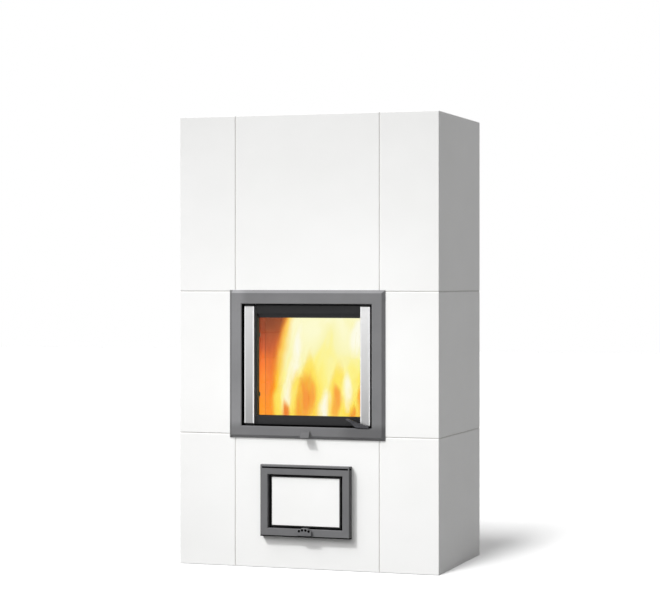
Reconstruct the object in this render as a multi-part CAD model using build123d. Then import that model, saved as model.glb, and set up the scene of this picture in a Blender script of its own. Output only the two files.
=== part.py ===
from build123d import *
import math
import os

# A heat-storing tiled stove.  X runs to the right seen from the front, Y to the back, Z up.
# The origin is on the floor, in the middle of the footprint.  All sizes are millimetres.

# ------------------------------------------------------------------ driving dimensions
# Tiled shell: three courses of corner tiles with centre tiles between them
body_depth = 525.0
corner_face_width = 199.0
centre_face_width = 500.0
lower_course_height = 439.0
middle_course_height = 472.0
upper_course_height = 583.0
joint_width = 3.0
joint_recess = 1.5
tile_thickness = 50.0
tile_arris = 1.2
top_slab_thickness = 40.0
lintel_angle_bearing = 38.0
lintel_angle_leg = 60.0
lintel_angle_cover = 12.5

# Core: base, insulation, firebricks and gas channels
base_slab_thickness = 60.0
insulation_thickness = 10.0
top_insulation_thickness = 20.0
channel_slab_thickness = 30.0
back_slab_thickness = 25.0
roof_slab_thickness = 40.0
front_lintel_height = 60.0
firebox_width = 400.0
firebrick_thickness = 62.0
brick_course_height = 84.0
brick_courses = 5
front_brick_length = 48.0
brick_chamfer = 1.6
hearth_thickness = 60.0
hearth_bearing = 12.0
ember_step = 21.0
throat_slab_thickness = 40.0
throat_depth = 70.0
crossover_height = 120.0
ash_chamber_half_width = 122.0
ash_chamber_wall_end = 225.0
ash_chamber_back_thickness = 40.0

# Grate
grate_size = 200.0
grate_thickness = 20.0
grate_bearing = 12.0
grate_bar_width = 9.0
grate_slots = 8
grate_play = 1.5
grate_centre_depth = 115.0

# Flue connection in the back
flue_radius = 75.0
flue_wall = 2.0
flue_gap = 3.0
flue_height = 250.0

# Firebox door frame and casing
frame_fit_side = 7.0
frame_fit_height = 4.0
frame_overlap_side = 18.0
frame_overlap_bottom = 13.0
frame_overlap_top = 6.0
frame_side_wall = 19.0
frame_sill_height = 23.0
frame_head_height = 36.0
frame_proud = 10.0
frame_bevel_width = 10.0
frame_bevel_depth = 8.0
frame_inner_arris = 2.0
frame_neck_depth = 37.5
casing_depth = 60.0
casing_wall = 4.0
casing_flange = 14.0
casing_stop_thickness = 4.0
frame_screw_depth = 10.0

# Firebox door
door_gap_side = 7.5
door_gap_height = 4.0
bar_setback = 8.0
bar_thickness = 12.0
bar_width = 34.0
bar_chamfer = 0.8
door_thickness = 30.0
door_hinge_stile = 41.0
door_latch_stile = 30.0
door_bottom_rail = 31.0
door_top_rail = 27.0
door_lug_height = 4.0
door_lug_setback = 1.5
door_edge_round = 2.0
glass_rebate = 9.0
glass_rebate_depth = 10.0
glass_play = 1.5
glass_thickness = 4.0
glass_gasket_thickness = 2.0
glass_gasket_width = 6.0
clip_half_height = 6.8
clip_sheet = 2.0
clip_seal_gap = 1.0
clip_screw_depth = 6.8
bar_screw_depth = 6.0
air_wash_height = 15.0
air_wash_sheet = 2.0
air_wash_setback = 10.5
door_seal_width = 8.0
door_seal_side_inset = 5.0
door_seal_bottom_inset = 14.0
door_seal_top_inset = 8.0
door_stop_margin = 5.0
hinge_from_edge = 6.0
hinge_behind_bar = 8.0
hinge_pin_radius = 3.5
hinge_pin_depth = 6.0

# Firebox latch
latch_from_edge = 44.0
latch_above_edge = 7.0
latch_lever_thickness = 10.5
latch_lever_gap = 1.0
latch_hub_radius = 8.5
latch_boss_radius = 7.0
latch_spindle_radius = 4.0
latch_cam_radius = 6.5
latch_tongue_reach = 18.0
latch_tongue_droop = 20.0
latch_tongue_half_width = 2.5
latch_tongue_thickness = 3.8
latch_play = 0.35
latch_tip_reach = 34.0
latch_tip_rise = 17.5
latch_tip_radius = 2.5
latch_knee_reach = 17.0
latch_knee_rise = 11.0
latch_knee_radius = 5.0
latch_wrist_reach = 22.0
latch_wrist_drop = 4.5
latch_wrist_radius = 4.6
latch_end_reach = 39.0
latch_end_drop = 6.5
latch_end_radius = 3.0
keeper_thickness = 2.8
keeper_width = 20.0
keeper_from_latch = 8.0
keeper_below_latch = 1.25

# Air control under the firebox door
air_slide_below_opening = 14.5
air_slide_play = 0.35
air_slide_sheet = 3.0
air_slide_half_width = 62.0
air_slide_length = 35.0
air_slide_setback = 22.0
air_slide_travel = 20.0
air_port_length = 8.0
air_port_margin = 4.0
air_port_width = 26.0
air_port_pitch = 36.0
air_port_count = 3
air_groove_depth = 3.5
air_guide_width = 16.0
air_tab_half_width = 15.0
air_tab_height = 20.0
air_tab_reach = 14.0
air_tab_stem = 3.0
air_rib_height = 11.0

# Ash door frame and casing
ash_sill_height = 133.5
ash_opening_height = 177.5
ash_opening_width = 260.0
ash_frame_side = 26.0
ash_frame_bottom = 27.5
ash_frame_top = 32.0
ash_frame_proud = 21.0
ash_frame_bevel_width = 2.0
ash_frame_bevel_depth = 2.0
ash_frame_arris = 1.5
ash_groove_inset = 6.0
ash_groove_from_top = 6.5
ash_groove_height = 5.5
ash_groove_depth = 3.5
ash_casing_wall = 3.0
ash_casing_fit = 4.0
ash_stop_from_face = 12.5
ash_stop_thickness = 3.0
ash_stop_border = 26.0

# Ash door
ash_panel_recess = 8.75
ash_panel_thickness = 12.0
ash_panel_gap_side = 12.25
ash_panel_gap_height = 9.25
ash_panel_arris = 1.0
ash_tray_rim = 4.0
ash_tray_sheet = 4.0
ash_tray_setback = 2.5
ash_tile_screw_depth = 6.0
ash_seal_inset = 10.5
ash_seal_width = 8.0
ash_hinge_from_panel_edge = 6.0
ash_hinge_behind_panel = 6.0
ash_pin_radius = 3.0
ash_pin_depth = 6.0

# Ash door latch: a cast finger piece that is lifted to free its nose
ash_latch_half_width = 25.5
ash_latch_height = 24.5
ash_latch_thickness = 9.0
ash_latch_edge_round = 1.5
ash_outer_pocket_place = 16.7
ash_outer_pocket_radius = 4.2
ash_outer_pocket_drop = 9.0
ash_inner_pocket_place = 5.9
ash_inner_pocket_radius = 4.0
ash_inner_pocket_drop = 6.0
ash_pocket_depth = 4.5
ash_latch_shoulder = 14.0
ash_latch_arm_half_width = 12.0
ash_latch_arm_sheet = 2.5
ash_latch_nose_half_width = 8.0
ash_latch_nose_depth = 4.5
ash_latch_nose_length = 6.0
ash_latch_nose_from_face = 6.5
ash_latch_blade_height = 9.7
ash_latch_overlap = 0.7
ash_guide_half_width = 16.0
ash_guide_height = 4.0
ash_guide_wall = 2.6

# Ash pan
pan_half_width = 90.0
pan_height = 100.0
pan_length = 205.0
pan_wall = 2.0
pan_setback = 112.5
pan_handle_half_width = 40.0
pan_handle_reach = 20.0
pan_handle_radius = 3.0
pan_handle_bend = 6.0
runner_width = 16.0
runner_height = 26.5
runner_sheet = 3.0

# Fasteners
screw_radius = 2.5
screw_head_radius = 4.5
screw_head_height = 3.5
small_screw_radius = 2.0
small_head_radius = 3.4
small_head_height = 2.4
screw_slot_width = 1.4
anchor_radius = 3.0
anchor_in_frame = 8.0
anchor_in_tile = 25.0

# Clearances
running_gap = 0.3
pin_play = 0.06
screw_play = 0.05
overcut = 1.0


# ------------------------------------------------------------------ shape helpers
nodes = {}


def node(name, *shapes):
    """Keep one named piece, or a group of like pieces, for export."""
    nodes[name] = [solid for shape in shapes for solid in shape.solids()]


def block(x, y, z):
    """Box between three (low, high) pairs."""
    size = [high - low for low, high in (x, y, z)]
    middle = [(high + low) / 2 for low, high in (x, y, z)]
    return Pos(*middle) * Box(*size)


def mirrored(low, high, side):
    """The pair low..high of distances from the middle, on the given side (-1 left, +1 right)."""
    return tuple(sorted((side * low, side * high)))


def panel(area, y):
    """Upright plate covering area = (x low, x high, z low, z high) between two Y values."""
    return block(area[0:2], y, area[2:4])


def upright_face(area, y):
    """Flat face covering an area at one Y value."""
    middle = Pos((area[0] + area[1]) / 2, y, (area[2] + area[3]) / 2)
    return middle * Rot(90, 0, 0) * Rectangle(area[1] - area[0], area[3] - area[2])


def shrink(area, side, bottom=None, top=None):
    """Area with its borders moved inwards."""
    bottom = side if bottom is None else bottom
    top = bottom if top is None else top
    return (area[0] + side, area[1] - side, area[2] + bottom, area[3] - top)


def ring(outer, inner, y):
    """Upright rectangular ring between two Y values."""
    return panel(outer, y) - panel(inner, (y[0] - overcut, y[1] + overcut))


def rod_y(x, z, radius, y):
    """Round bar along Y."""
    return Pos(x, (y[0] + y[1]) / 2, z) * Rot(90, 0, 0) * Cylinder(radius, y[1] - y[0])


def rod_z(x, y, radius, z):
    """Round bar along Z."""
    return Pos(x, y, (z[0] + z[1]) / 2) * Cylinder(radius, z[1] - z[0])


def profile(points, half_width_x):
    """Solid of a closed (y, z) outline, extended equally to both sides of the middle plane."""
    outline = make_face(Polyline(*[(0, y, z) for y, z in points], close=True))
    return extrude(outline, half_width_x, dir=(1, 0, 0), both=True)


def edges_on(solid, coordinate, value):
    """Edges of a solid whose middle lies on the plane coordinate = value."""
    return [edge for edge in solid.edges() if abs(getattr(edge.center(), coordinate) - value) < 1e-3]


def face_edges_round(solid, opening, y):
    """Edges of a solid's front face that run round an opening."""
    return [edge for edge in edges_on(solid, "Y", y)
            if opening[0] - overcut < edge.center().X < opening[1] + overcut
            and opening[2] - overcut < edge.center().Z < opening[3] + overcut]


def screw(x, z, seat_y, length, radius, head_radius, head_height):
    """Screw with its head on the +Y side of seat_y and its shank pointing to -Y."""
    head = rod_y(x, z, head_radius, (seat_y, seat_y + head_height))
    slot = block((x - head_radius, x + head_radius),
                 (seat_y + head_height / 2, seat_y + head_height + overcut),
                 (z - screw_slot_width / 2, z + screw_slot_width / 2))
    return head - slot + rod_y(x, z, radius, (seat_y - length, seat_y))


def link(start, start_radius, end, end_radius, y):
    """Tapered lever arm between two round ends, points given as (x, z)."""
    run = Vector(end[0] - start[0], 0, end[1] - start[1])
    turn = math.degrees(math.atan2(run.Z, run.X))
    lean = math.degrees(math.acos((start_radius - end_radius) / run.length))
    corners = [(start, start_radius, turn + lean), (end, end_radius, turn + lean),
               (end, end_radius, turn - lean), (start, start_radius, turn - lean)]
    outline = [(point[0] + radius * math.cos(math.radians(angle)),
                -point[1] - radius * math.sin(math.radians(angle)))
               for point, radius, angle in corners]
    plate = extrude(make_face(Polyline(*outline, close=True)), y[1] - y[0])
    web = Pos(0, y[0], 0) * Rot(-90, 0, 0) * plate
    return web + rod_y(*start, start_radius, y) + rod_y(*end, end_radius, y)


# ------------------------------------------------------------------ places that pieces share
half_width = centre_face_width / 2 + joint_width + corner_face_width
front_y = -body_depth / 2
back_y = body_depth / 2
shell_x = half_width - tile_thickness
shell_front_y = front_y + tile_thickness
shell_back_y = back_y - tile_thickness
centre_edge = centre_face_width / 2
corner_edge = centre_edge + joint_width
lower_top = lower_course_height
middle_bottom = lower_top + joint_width
middle_top = middle_bottom + middle_course_height
upper_bottom = middle_top + joint_width
body_height = upper_bottom + upper_course_height
courses = {"lower": (0, lower_top),
           "middle": (middle_bottom, middle_top),
           "upper": (upper_bottom, body_height)}
sides = {"left": -1, "right": 1}

# Firebox door opening, from the hole that the corner tiles leave
hole = (-corner_edge, corner_edge, middle_bottom, middle_top)
frame_neck = shrink(hole, frame_fit_side, frame_fit_height)
frame_outer = shrink(hole, -frame_overlap_side, -frame_overlap_bottom, -frame_overlap_top)
frame_opening = shrink(frame_neck, frame_side_wall, frame_sill_height, frame_head_height)
frame_face_y = front_y - frame_proud
neck_back_y = front_y + frame_neck_depth
bar_front_y = frame_face_y + bar_setback
door_front_y = bar_front_y + bar_thickness
door_back_y = door_front_y + door_thickness
door = shrink(frame_opening, door_gap_side, door_gap_height)
door_window = (door[0] + door_hinge_stile, door[1] - door_latch_stile,
               door[2] + door_bottom_rail, door[3] - door_top_rail)
glass_seat = shrink(door_window, -glass_rebate)
glass_front_y = door_back_y - glass_rebate_depth + glass_gasket_thickness
door_seal_outer = shrink(door, door_seal_side_inset, door_seal_bottom_inset, door_seal_top_inset)
door_seal_inner = shrink(door_seal_outer, door_seal_width)
door_hinge_x = door[0] + hinge_from_edge
door_hinge_y = bar_front_y + hinge_behind_bar
casing_back_y = neck_back_y + casing_depth

# Air slide, under the casing floor
air_slide_top = frame_opening[2] - air_slide_below_opening
air_slide_z = (air_slide_top - air_slide_sheet, air_slide_top)
casing_floor_bottom = air_slide_top + air_slide_play
casing_floor_top = casing_floor_bottom + casing_wall
casing_inner = (frame_opening[0], frame_opening[1], casing_floor_top, frame_opening[3])
casing_outer = shrink(casing_inner, -casing_wall)

# Core
base_top = base_slab_thickness
hearth_top = casing_floor_top - ember_step
hearth_bottom = hearth_top - hearth_thickness
firebox_top = hearth_top + brick_courses * brick_course_height
firebox_x = firebox_width / 2
core_x = firebox_x + firebrick_thickness
channel_x = shell_x - insulation_thickness - channel_slab_thickness
liner_x = shell_x - insulation_thickness
back_slab_back_y = shell_back_y - insulation_thickness
back_slab_y = back_slab_back_y - back_slab_thickness
firebox_front_y = casing_back_y
firebox_back_y = back_slab_y - firebrick_thickness
chamber_bottom = firebox_top + throat_slab_thickness
roof_top = body_height - top_slab_thickness - top_insulation_thickness
roof_bottom = roof_top - roof_slab_thickness
ash_wall_end_y = casing_back_y + ash_chamber_wall_end
ash_back_y = ash_wall_end_y + ash_chamber_back_thickness

# Ash door opening
ash_opening = (-ash_opening_width / 2, ash_opening_width / 2,
               ash_sill_height, ash_sill_height + ash_opening_height)
ash_frame_outer = shrink(ash_opening, -ash_frame_side, -ash_frame_bottom, -ash_frame_top)
ash_face_y = front_y - ash_frame_proud
ash_hole = shrink(ash_opening, -ash_casing_wall - ash_casing_fit)
ash_panel = shrink(ash_opening, ash_panel_gap_side, ash_panel_gap_height)
ash_panel_y = (ash_face_y + ash_panel_recess, ash_face_y + ash_panel_recess + ash_panel_thickness)
ash_tray = shrink(ash_panel, -ash_tray_rim)
ash_tray_back_y = ash_panel_y[1] + ash_tray_sheet
ash_hinge_x = ash_panel[0] + ash_hinge_from_panel_edge
ash_hinge_y = ash_panel_y[0] + ash_hinge_behind_panel
ash_stop_y = front_y + ash_stop_from_face
ash_seal_outer = shrink(ash_tray, ash_seal_inset)
ash_seal_inner = shrink(ash_seal_outer, ash_seal_width)
runner_top = ash_sill_height + runner_height


# ------------------------------------------------------------------ tiled shell
def soften_tile(solid):
    """Break the outer edges of a tile, as a real arris is."""
    outer = []
    for coordinate, value in (("Y", front_y), ("Y", back_y), ("X", -half_width), ("X", half_width)):
        outer += [edge for edge in edges_on(solid, coordinate, value) if edge not in outer]
    return chamfer(outer, tile_arris)


def corner_tile(side, z):
    """L-shaped tile: the narrow front face and the whole side of the stove."""
    flank = block(mirrored(shell_x, half_width, side), (front_y, back_y), z)
    front = block(mirrored(corner_edge, shell_x, side), (front_y, shell_front_y), z)
    return soften_tile(flank + front)


def centre_tile(z):
    return block((-centre_edge, centre_edge), (front_y, shell_front_y), z)


def back_tile(z):
    edge = shell_x - joint_width
    return block((-edge, edge), (shell_back_y, back_y), z)


def bed_joint(z):
    """Mortar bed running right round the stove between two courses."""
    outer_x = half_width - joint_recess
    outer = block((-outer_x, outer_x), (front_y + joint_recess, back_y - joint_recess), z)
    inner = block((-shell_x, shell_x), (shell_front_y, shell_back_y), (z[0] - overcut, z[1] + overcut))
    return outer - inner


def make_shell():
    back_tiles = []
    flue_hole = rod_y(0, flue_height, flue_radius + flue_wall + flue_gap,
                      (shell_back_y - overcut, back_y + overcut))
    for course, z in courses.items():
        for name, side in sides.items():
            node(f"{course}_{name}_corner_tile", corner_tile(side, z))
        back_tiles.append(soften_tile(back_tile(z) - flue_hole))
    node("back_tiles", *back_tiles)
    ash_cut = panel(ash_hole, (front_y - overcut, shell_front_y + overcut))
    anchor_holes = [rod_y(x, z, anchor_radius + screw_play, (front_y - overcut, front_y + anchor_in_tile))
                    for x, z in ash_anchor_places()]
    node("lower_front_tile", soften_tile(centre_tile(courses["lower"]) - ash_cut) - anchor_holes)
    node("upper_front_tile", soften_tile(centre_tile(courses["upper"])))
    node("top_slab", block((-shell_x, shell_x), (shell_front_y, shell_back_y),
                           (body_height - top_slab_thickness, body_height)))


def make_joints():
    lower_bed = bed_joint((lower_top, middle_bottom))
    upper_bed = bed_joint((middle_top, upper_bottom))
    strips = [lower_bed, upper_bed - lintel_bearing_leg()]
    for side in sides.values():
        for course, z in courses.items():
            if course != "middle":
                strips.append(block(mirrored(centre_edge, corner_edge, side),
                                    (front_y + joint_recess, shell_front_y), z))
            strips.append(block(mirrored(shell_x - joint_width, shell_x, side),
                                (shell_back_y, back_y - joint_recess), z))
    node("tile_joints", *strips)


def lintel_bearing_leg():
    """Flat leg of the steel angle, lying in the upper bed joint."""
    reach = corner_edge + lintel_angle_bearing
    return block((-reach, reach), (front_y + lintel_angle_cover, shell_front_y), (middle_top, upper_bottom))


def make_lintel_angle():
    """Steel angle that carries the upper front tile across the door opening."""
    reach = corner_edge + lintel_angle_bearing
    upright = block((-reach, reach), (shell_front_y, shell_front_y + joint_width),
                    (middle_top, middle_top + lintel_angle_leg))
    node("lintel_angle", lintel_bearing_leg() + upright)


# ------------------------------------------------------------------ core masonry
def make_insulation():
    """Boards between the core and the tiles: two sides, the back and the top."""
    boards = [block(mirrored(liner_x, shell_x, side), (shell_front_y, shell_back_y), (base_top, roof_top))
              for side in sides.values()]
    back_board = block((-liner_x, liner_x), (back_slab_back_y, shell_back_y), (base_top, roof_top))
    boards.append(back_board - flue_cut())
    boards.append(block((-shell_x, shell_x), (shell_front_y, shell_back_y),
                        (roof_top, body_height - top_slab_thickness)))
    node("insulation_boards", *boards)


def flue_cut():
    """Round hole for the flue collar through the back of the core."""
    return rod_y(0, flue_height, flue_radius + flue_wall + running_gap,
                 (back_slab_y - overcut, back_y + overcut))


def make_base_and_walls():
    node("base_slab", block((-shell_x, shell_x), (shell_front_y, shell_back_y), (0, base_top)))
    node("channel_slabs", *[block(mirrored(channel_x, liner_x, side), (shell_front_y, back_slab_back_y),
                                  (base_top, roof_bottom)) for side in sides.values()])
    node("front_piers", *[block(mirrored(corner_edge, channel_x, side), (shell_front_y, casing_back_y),
                                (base_top, middle_top)) for side in sides.values()])
    walls = [block(mirrored(ash_chamber_half_width, core_x, side), (casing_back_y, ash_wall_end_y),
                   (base_top, hearth_bottom)) for side in sides.values()]
    walls.append(block((-core_x, core_x), (ash_wall_end_y, ash_back_y), (base_top, hearth_bottom)))
    walls.append(block((-ash_chamber_half_width, ash_chamber_half_width), (casing_back_y, ash_wall_end_y),
                       (base_top, ash_sill_height)))
    node("ash_chamber_blocks", *walls)
    back = block((-channel_x, channel_x), (back_slab_y, back_slab_back_y), (base_top, roof_bottom))
    rebate = block((-core_x, core_x), (back_slab_y - overcut, back_slab_y + hearth_bearing),
                   (hearth_bottom, hearth_top))
    node("back_core_slab", back - rebate - flue_cut())
    sill = block((-corner_edge, corner_edge), (shell_front_y, casing_back_y), (base_top, middle_bottom))
    node("sill_block", sill - panel(ash_hole, (shell_front_y - overcut, casing_back_y + overcut)))


def make_front_lintel():
    """Reinforced beam over the door casing and the slab that stands on it."""
    beam = block((-channel_x, channel_x), (shell_front_y, casing_back_y),
                 (middle_top, middle_top + front_lintel_height))
    reach = corner_edge + lintel_angle_bearing + running_gap
    rebate = block((-reach, reach), (shell_front_y - overcut, shell_front_y + joint_width + running_gap),
                   (middle_top - overcut, middle_top + lintel_angle_leg + overcut))
    slab = block((-channel_x, channel_x), (shell_front_y, casing_back_y),
                 (middle_top + front_lintel_height, roof_bottom))
    node("front_core_beams", beam - rebate, slab)


def brick(x, y, z):
    solid = block(x, y, z)
    return chamfer(solid.edges(), brick_chamfer)


def make_firebox():
    """Hearth, grate and the firebrick lining, laid in courses."""
    levels = [(hearth_top + row * brick_course_height, hearth_top + (row + 1) * brick_course_height)
              for row in range(brick_courses)]
    front_brick_end = firebox_front_y + front_brick_length
    lengths = ((firebox_front_y, front_brick_end), (front_brick_end, firebox_back_y))
    node("firebox_side_bricks", *[brick(mirrored(firebox_x, core_x, side), y, z)
                                  for side in sides.values() for z in levels for y in lengths])
    back = []
    for row, z in enumerate(levels):
        cuts = [-core_x, 0, core_x] if row % 2 == 0 else [-core_x, -core_x / 2, core_x / 2, core_x]
        back += [brick(x, (firebox_back_y, back_slab_y), z) for x in zip(cuts, cuts[1:])]
    node("firebox_back_bricks", *back)
    lintel_y = (firebox_front_y, firebox_front_y + firebrick_thickness)
    node("firebox_lintel_brick", brick((-core_x, core_x), lintel_y,
                                       (firebox_top, firebox_top + brick_course_height)))


def grate_centre_y():
    return firebox_front_y + grate_centre_depth


def make_hearth():
    slab = block((-core_x, core_x), (firebox_front_y, back_slab_y + hearth_bearing),
                 (hearth_bottom, hearth_top))
    pocket = grate_size / 2 + grate_play
    throat = grate_size / 2 - grate_bearing
    middle = grate_centre_y()
    slab -= block((-pocket, pocket), (middle - pocket, middle + pocket),
                  (hearth_top - grate_thickness, hearth_top + overcut))
    slab -= block((-throat, throat), (middle - throat, middle + throat),
                  (hearth_bottom - overcut, hearth_top))
    node("hearth_slab", slab)
    half = grate_size / 2
    grate = block((-half, half), (middle - half, middle + half), (hearth_top - grate_thickness, hearth_top))
    pitch = (2 * throat + grate_bar_width) / grate_slots
    for index in range(grate_slots):
        left = -throat + index * pitch
        grate -= block((left, left + pitch - grate_bar_width), (middle - throat, middle + throat),
                       (hearth_top - grate_thickness - overcut, hearth_top + overcut))
    node("fire_grate", grate)


def make_upper_chamber():
    """Throat slab over the firebox and the walls of the afterburning chamber."""
    front = firebox_front_y + firebrick_thickness
    slab = block((-core_x, core_x), (front, back_slab_y), (firebox_top, chamber_bottom))
    throat = block((-firebox_x, firebox_x), (firebox_back_y - throat_depth, firebox_back_y),
                   (firebox_top - overcut, chamber_bottom + overcut))
    node("throat_slab", slab - throat)
    walls = [block(mirrored(firebox_x, core_x, side), (front, back_slab_y),
                   (chamber_bottom, roof_bottom - crossover_height)) for side in sides.values()]
    walls.append(block((-firebox_x, firebox_x), (firebox_back_y, back_slab_y), (chamber_bottom, roof_bottom)))
    walls.append(block((-core_x, core_x), (firebox_front_y, front),
                       (firebox_top + brick_course_height, roof_bottom)))
    node("chamber_walls", *walls)
    node("core_roof_slab", block((-liner_x, liner_x), (shell_front_y, back_slab_back_y),
                                 (roof_bottom, roof_top)))


def make_flue_collar():
    """Steel sleeve that takes the flue pipe, flush with the back tile."""
    y = (back_slab_y, back_y)
    node("flue_collar", rod_y(0, flue_height, flue_radius + flue_wall, y)
         - rod_y(0, flue_height, flue_radius, (y[0] - overcut, y[1] + overcut)))


# ------------------------------------------------------------------ firebox frame and casing
def frame_screw_places():
    x = casing_outer[1] + casing_flange / 2
    rise = (casing_outer[3] - casing_outer[2]) / 4
    middle = (casing_outer[3] + casing_outer[2]) / 2
    return [(side * x, middle + step * rise) for side in (-1, 1) for step in (-1, 0, 1)]


def make_firebox_frame():
    """Bevelled steel frame with a neck that reaches into the wall."""
    bevel_y = frame_face_y + frame_bevel_depth
    bevel = loft([upright_face(frame_outer, bevel_y),
                  upright_face(shrink(frame_outer, frame_bevel_width), frame_face_y)], ruled=True)
    frame = bevel + panel(frame_outer, (bevel_y, front_y)) + panel(frame_neck, (front_y, neck_back_y))
    frame -= panel(frame_opening, (frame_face_y - overcut, neck_back_y + overcut))
    frame = chamfer(face_edges_round(frame, frame_opening, frame_face_y), frame_inner_arris)
    for z in ((frame_opening[2] - hinge_pin_depth - running_gap, frame_opening[2] + overcut),
              (frame_opening[3] - overcut, frame_opening[3] + hinge_pin_depth + running_gap)):
        frame -= rod_z(door_hinge_x, door_hinge_y, hinge_pin_radius + pin_play, z)
    slot = block((-air_tab_half_width - running_gap, air_tab_half_width + running_gap),
                 (frame_face_y - overcut, neck_back_y + overcut),
                 (air_slide_z[0] - running_gap, air_slide_z[1] + running_gap))
    frame -= slot
    for x, z in frame_screw_places():
        frame -= rod_y(x, z, screw_radius + screw_play,
                       (neck_back_y - frame_screw_depth, neck_back_y + overcut))
    node("firebox_frame", frame)


def door_stop_y():
    return door_back_y + door_seal_width + running_gap


def make_firebox_casing():
    """Steel box behind the frame, with the rim that the door seals against."""
    casing = ring(casing_outer, casing_inner, (neck_back_y, casing_back_y))
    for side in sides.values():
        x = mirrored(casing_outer[1], casing_outer[1] + casing_flange, side)
        casing += block(x, (neck_back_y, neck_back_y + casing_wall), casing_outer[2:4])
    stop_inner = shrink(door_seal_inner, door_stop_margin)
    casing += ring(casing_inner, stop_inner, (door_stop_y(), door_stop_y() + casing_stop_thickness))
    for x in air_port_places():
        casing -= block((x - air_port_width / 2, x + air_port_width / 2), air_port_y(air_slide_travel),
                        (casing_floor_bottom - overcut, casing_floor_top + overcut))
    for x, z in frame_screw_places():
        casing -= rod_y(x, z, screw_radius + screw_play,
                        (neck_back_y - overcut, neck_back_y + casing_wall + overcut))
    node("firebox_casing", casing)
    shank = frame_screw_depth + casing_wall - running_gap
    node("frame_screws", *[screw(x, z, neck_back_y + casing_wall, shank, screw_radius, screw_head_radius,
                                 screw_head_height) for x, z in frame_screw_places()])
    seal_outer = (hole[0], hole[1], middle_bottom, hole[3])
    seal_inner = (casing_outer[0], casing_outer[1], middle_bottom - overcut, casing_outer[3])
    seal_y = (neck_back_y + casing_wall + screw_head_height + running_gap, casing_back_y)
    node("casing_insulation", ring(seal_outer, seal_inner, seal_y))


def make_keeper():
    """Angle on the casing floor that holds the latch tongue from the front."""
    left = latch_x() + keeper_from_latch
    x = (left, left + keeper_width)
    upright_y = (door_back_y + running_gap, door_back_y + running_gap + keeper_thickness)
    upright = block(x, upright_y, (casing_floor_top, latch_z() - keeper_below_latch))
    foot = block(x, (upright_y[0], door_stop_y()), (casing_floor_top, casing_floor_top + keeper_thickness))
    node("firebox_latch_keeper", upright + foot)


# ------------------------------------------------------------------ air control
def air_port_places():
    return [(index - (air_port_count - 1) / 2) * air_port_pitch for index in range(air_port_count)]


def air_slide_y():
    front = neck_back_y + air_slide_setback
    return (front, front + air_slide_length)


def air_port_y(pulled):
    """Y range of the ports in the slide when it is pulled out by the given amount."""
    back = air_slide_y()[1] - air_port_margin - pulled
    return (back - air_port_length, back)


def make_air_control():
    """Perforated slide under the casing, pulled by a bent tab below the door."""
    y = air_slide_y()
    slide = block((-air_slide_half_width, air_slide_half_width), y, air_slide_z)
    for x in air_port_places():
        slide -= block((x - air_port_width / 2, x + air_port_width / 2), air_port_y(0),
                       (air_slide_z[0] - overcut, air_slide_z[1] + overcut))
    bottom, top = air_slide_z
    bend_y = frame_face_y - air_tab_stem
    tip = (bend_y - air_tab_reach, top - air_tab_height)
    sheet_across = air_slide_sheet * math.hypot(air_tab_reach, air_tab_height) / air_tab_height
    lean = air_tab_reach / air_tab_height
    strip = [(y[0] + overcut, bottom), (y[0] + overcut, top), (bend_y, top), tip,
             (tip[0] + sheet_across, tip[1]), (bend_y + sheet_across - air_slide_sheet * lean, bottom)]
    rib = [(bend_y, top - air_slide_sheet / 2), (bend_y, top - air_rib_height),
           (bend_y - air_rib_height * lean + sheet_across / 2, top - air_rib_height)]
    node("air_slide", slide + profile(strip, air_tab_half_width) + profile(rib, air_slide_sheet / 2))
    guides = []
    for side in sides.values():
        inner = air_slide_half_width + running_gap - air_groove_depth
        guide = block(mirrored(inner, inner + air_guide_width, side), (neck_back_y, casing_back_y),
                      (middle_bottom, casing_floor_bottom))
        groove = block(mirrored(inner - overcut, air_slide_half_width + running_gap, side),
                       (neck_back_y - overcut, casing_back_y + overcut),
                       (air_slide_z[0] - running_gap, air_slide_z[1] + running_gap))
        guides.append(guide - groove)
    node("air_slide_guides", *guides)


# ------------------------------------------------------------------ firebox door
def latch_x():
    return door[1] - latch_from_edge


def latch_z():
    return door[2] + latch_above_edge


def seat_edge(side):
    """Distance from the middle plane to the glass rebate's edge on the given side."""
    return max(side * edge for edge in glass_seat[0:2])


def bar_screw_places():
    low = door[2] + door_bottom_rail
    step = (door[3] - door_top_rail - low) / 2
    return [(side * (door_seal_inner[1] + seat_edge(side)) / 2, low + index * step)
            for side in (-1, 1) for index in range(3)]


def clip_places():
    quarter = (door[3] - door[2]) / 4
    return [(side, side * seat_edge(side), door[2] + quarter * step) for side in (-1, 1) for step in (1, 3)]


def clip_flange(side):
    """Width of a clip's foot between the glass rebate and the door seal."""
    return door_seal_inner[1] - seat_edge(side) - clip_seal_gap


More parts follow.
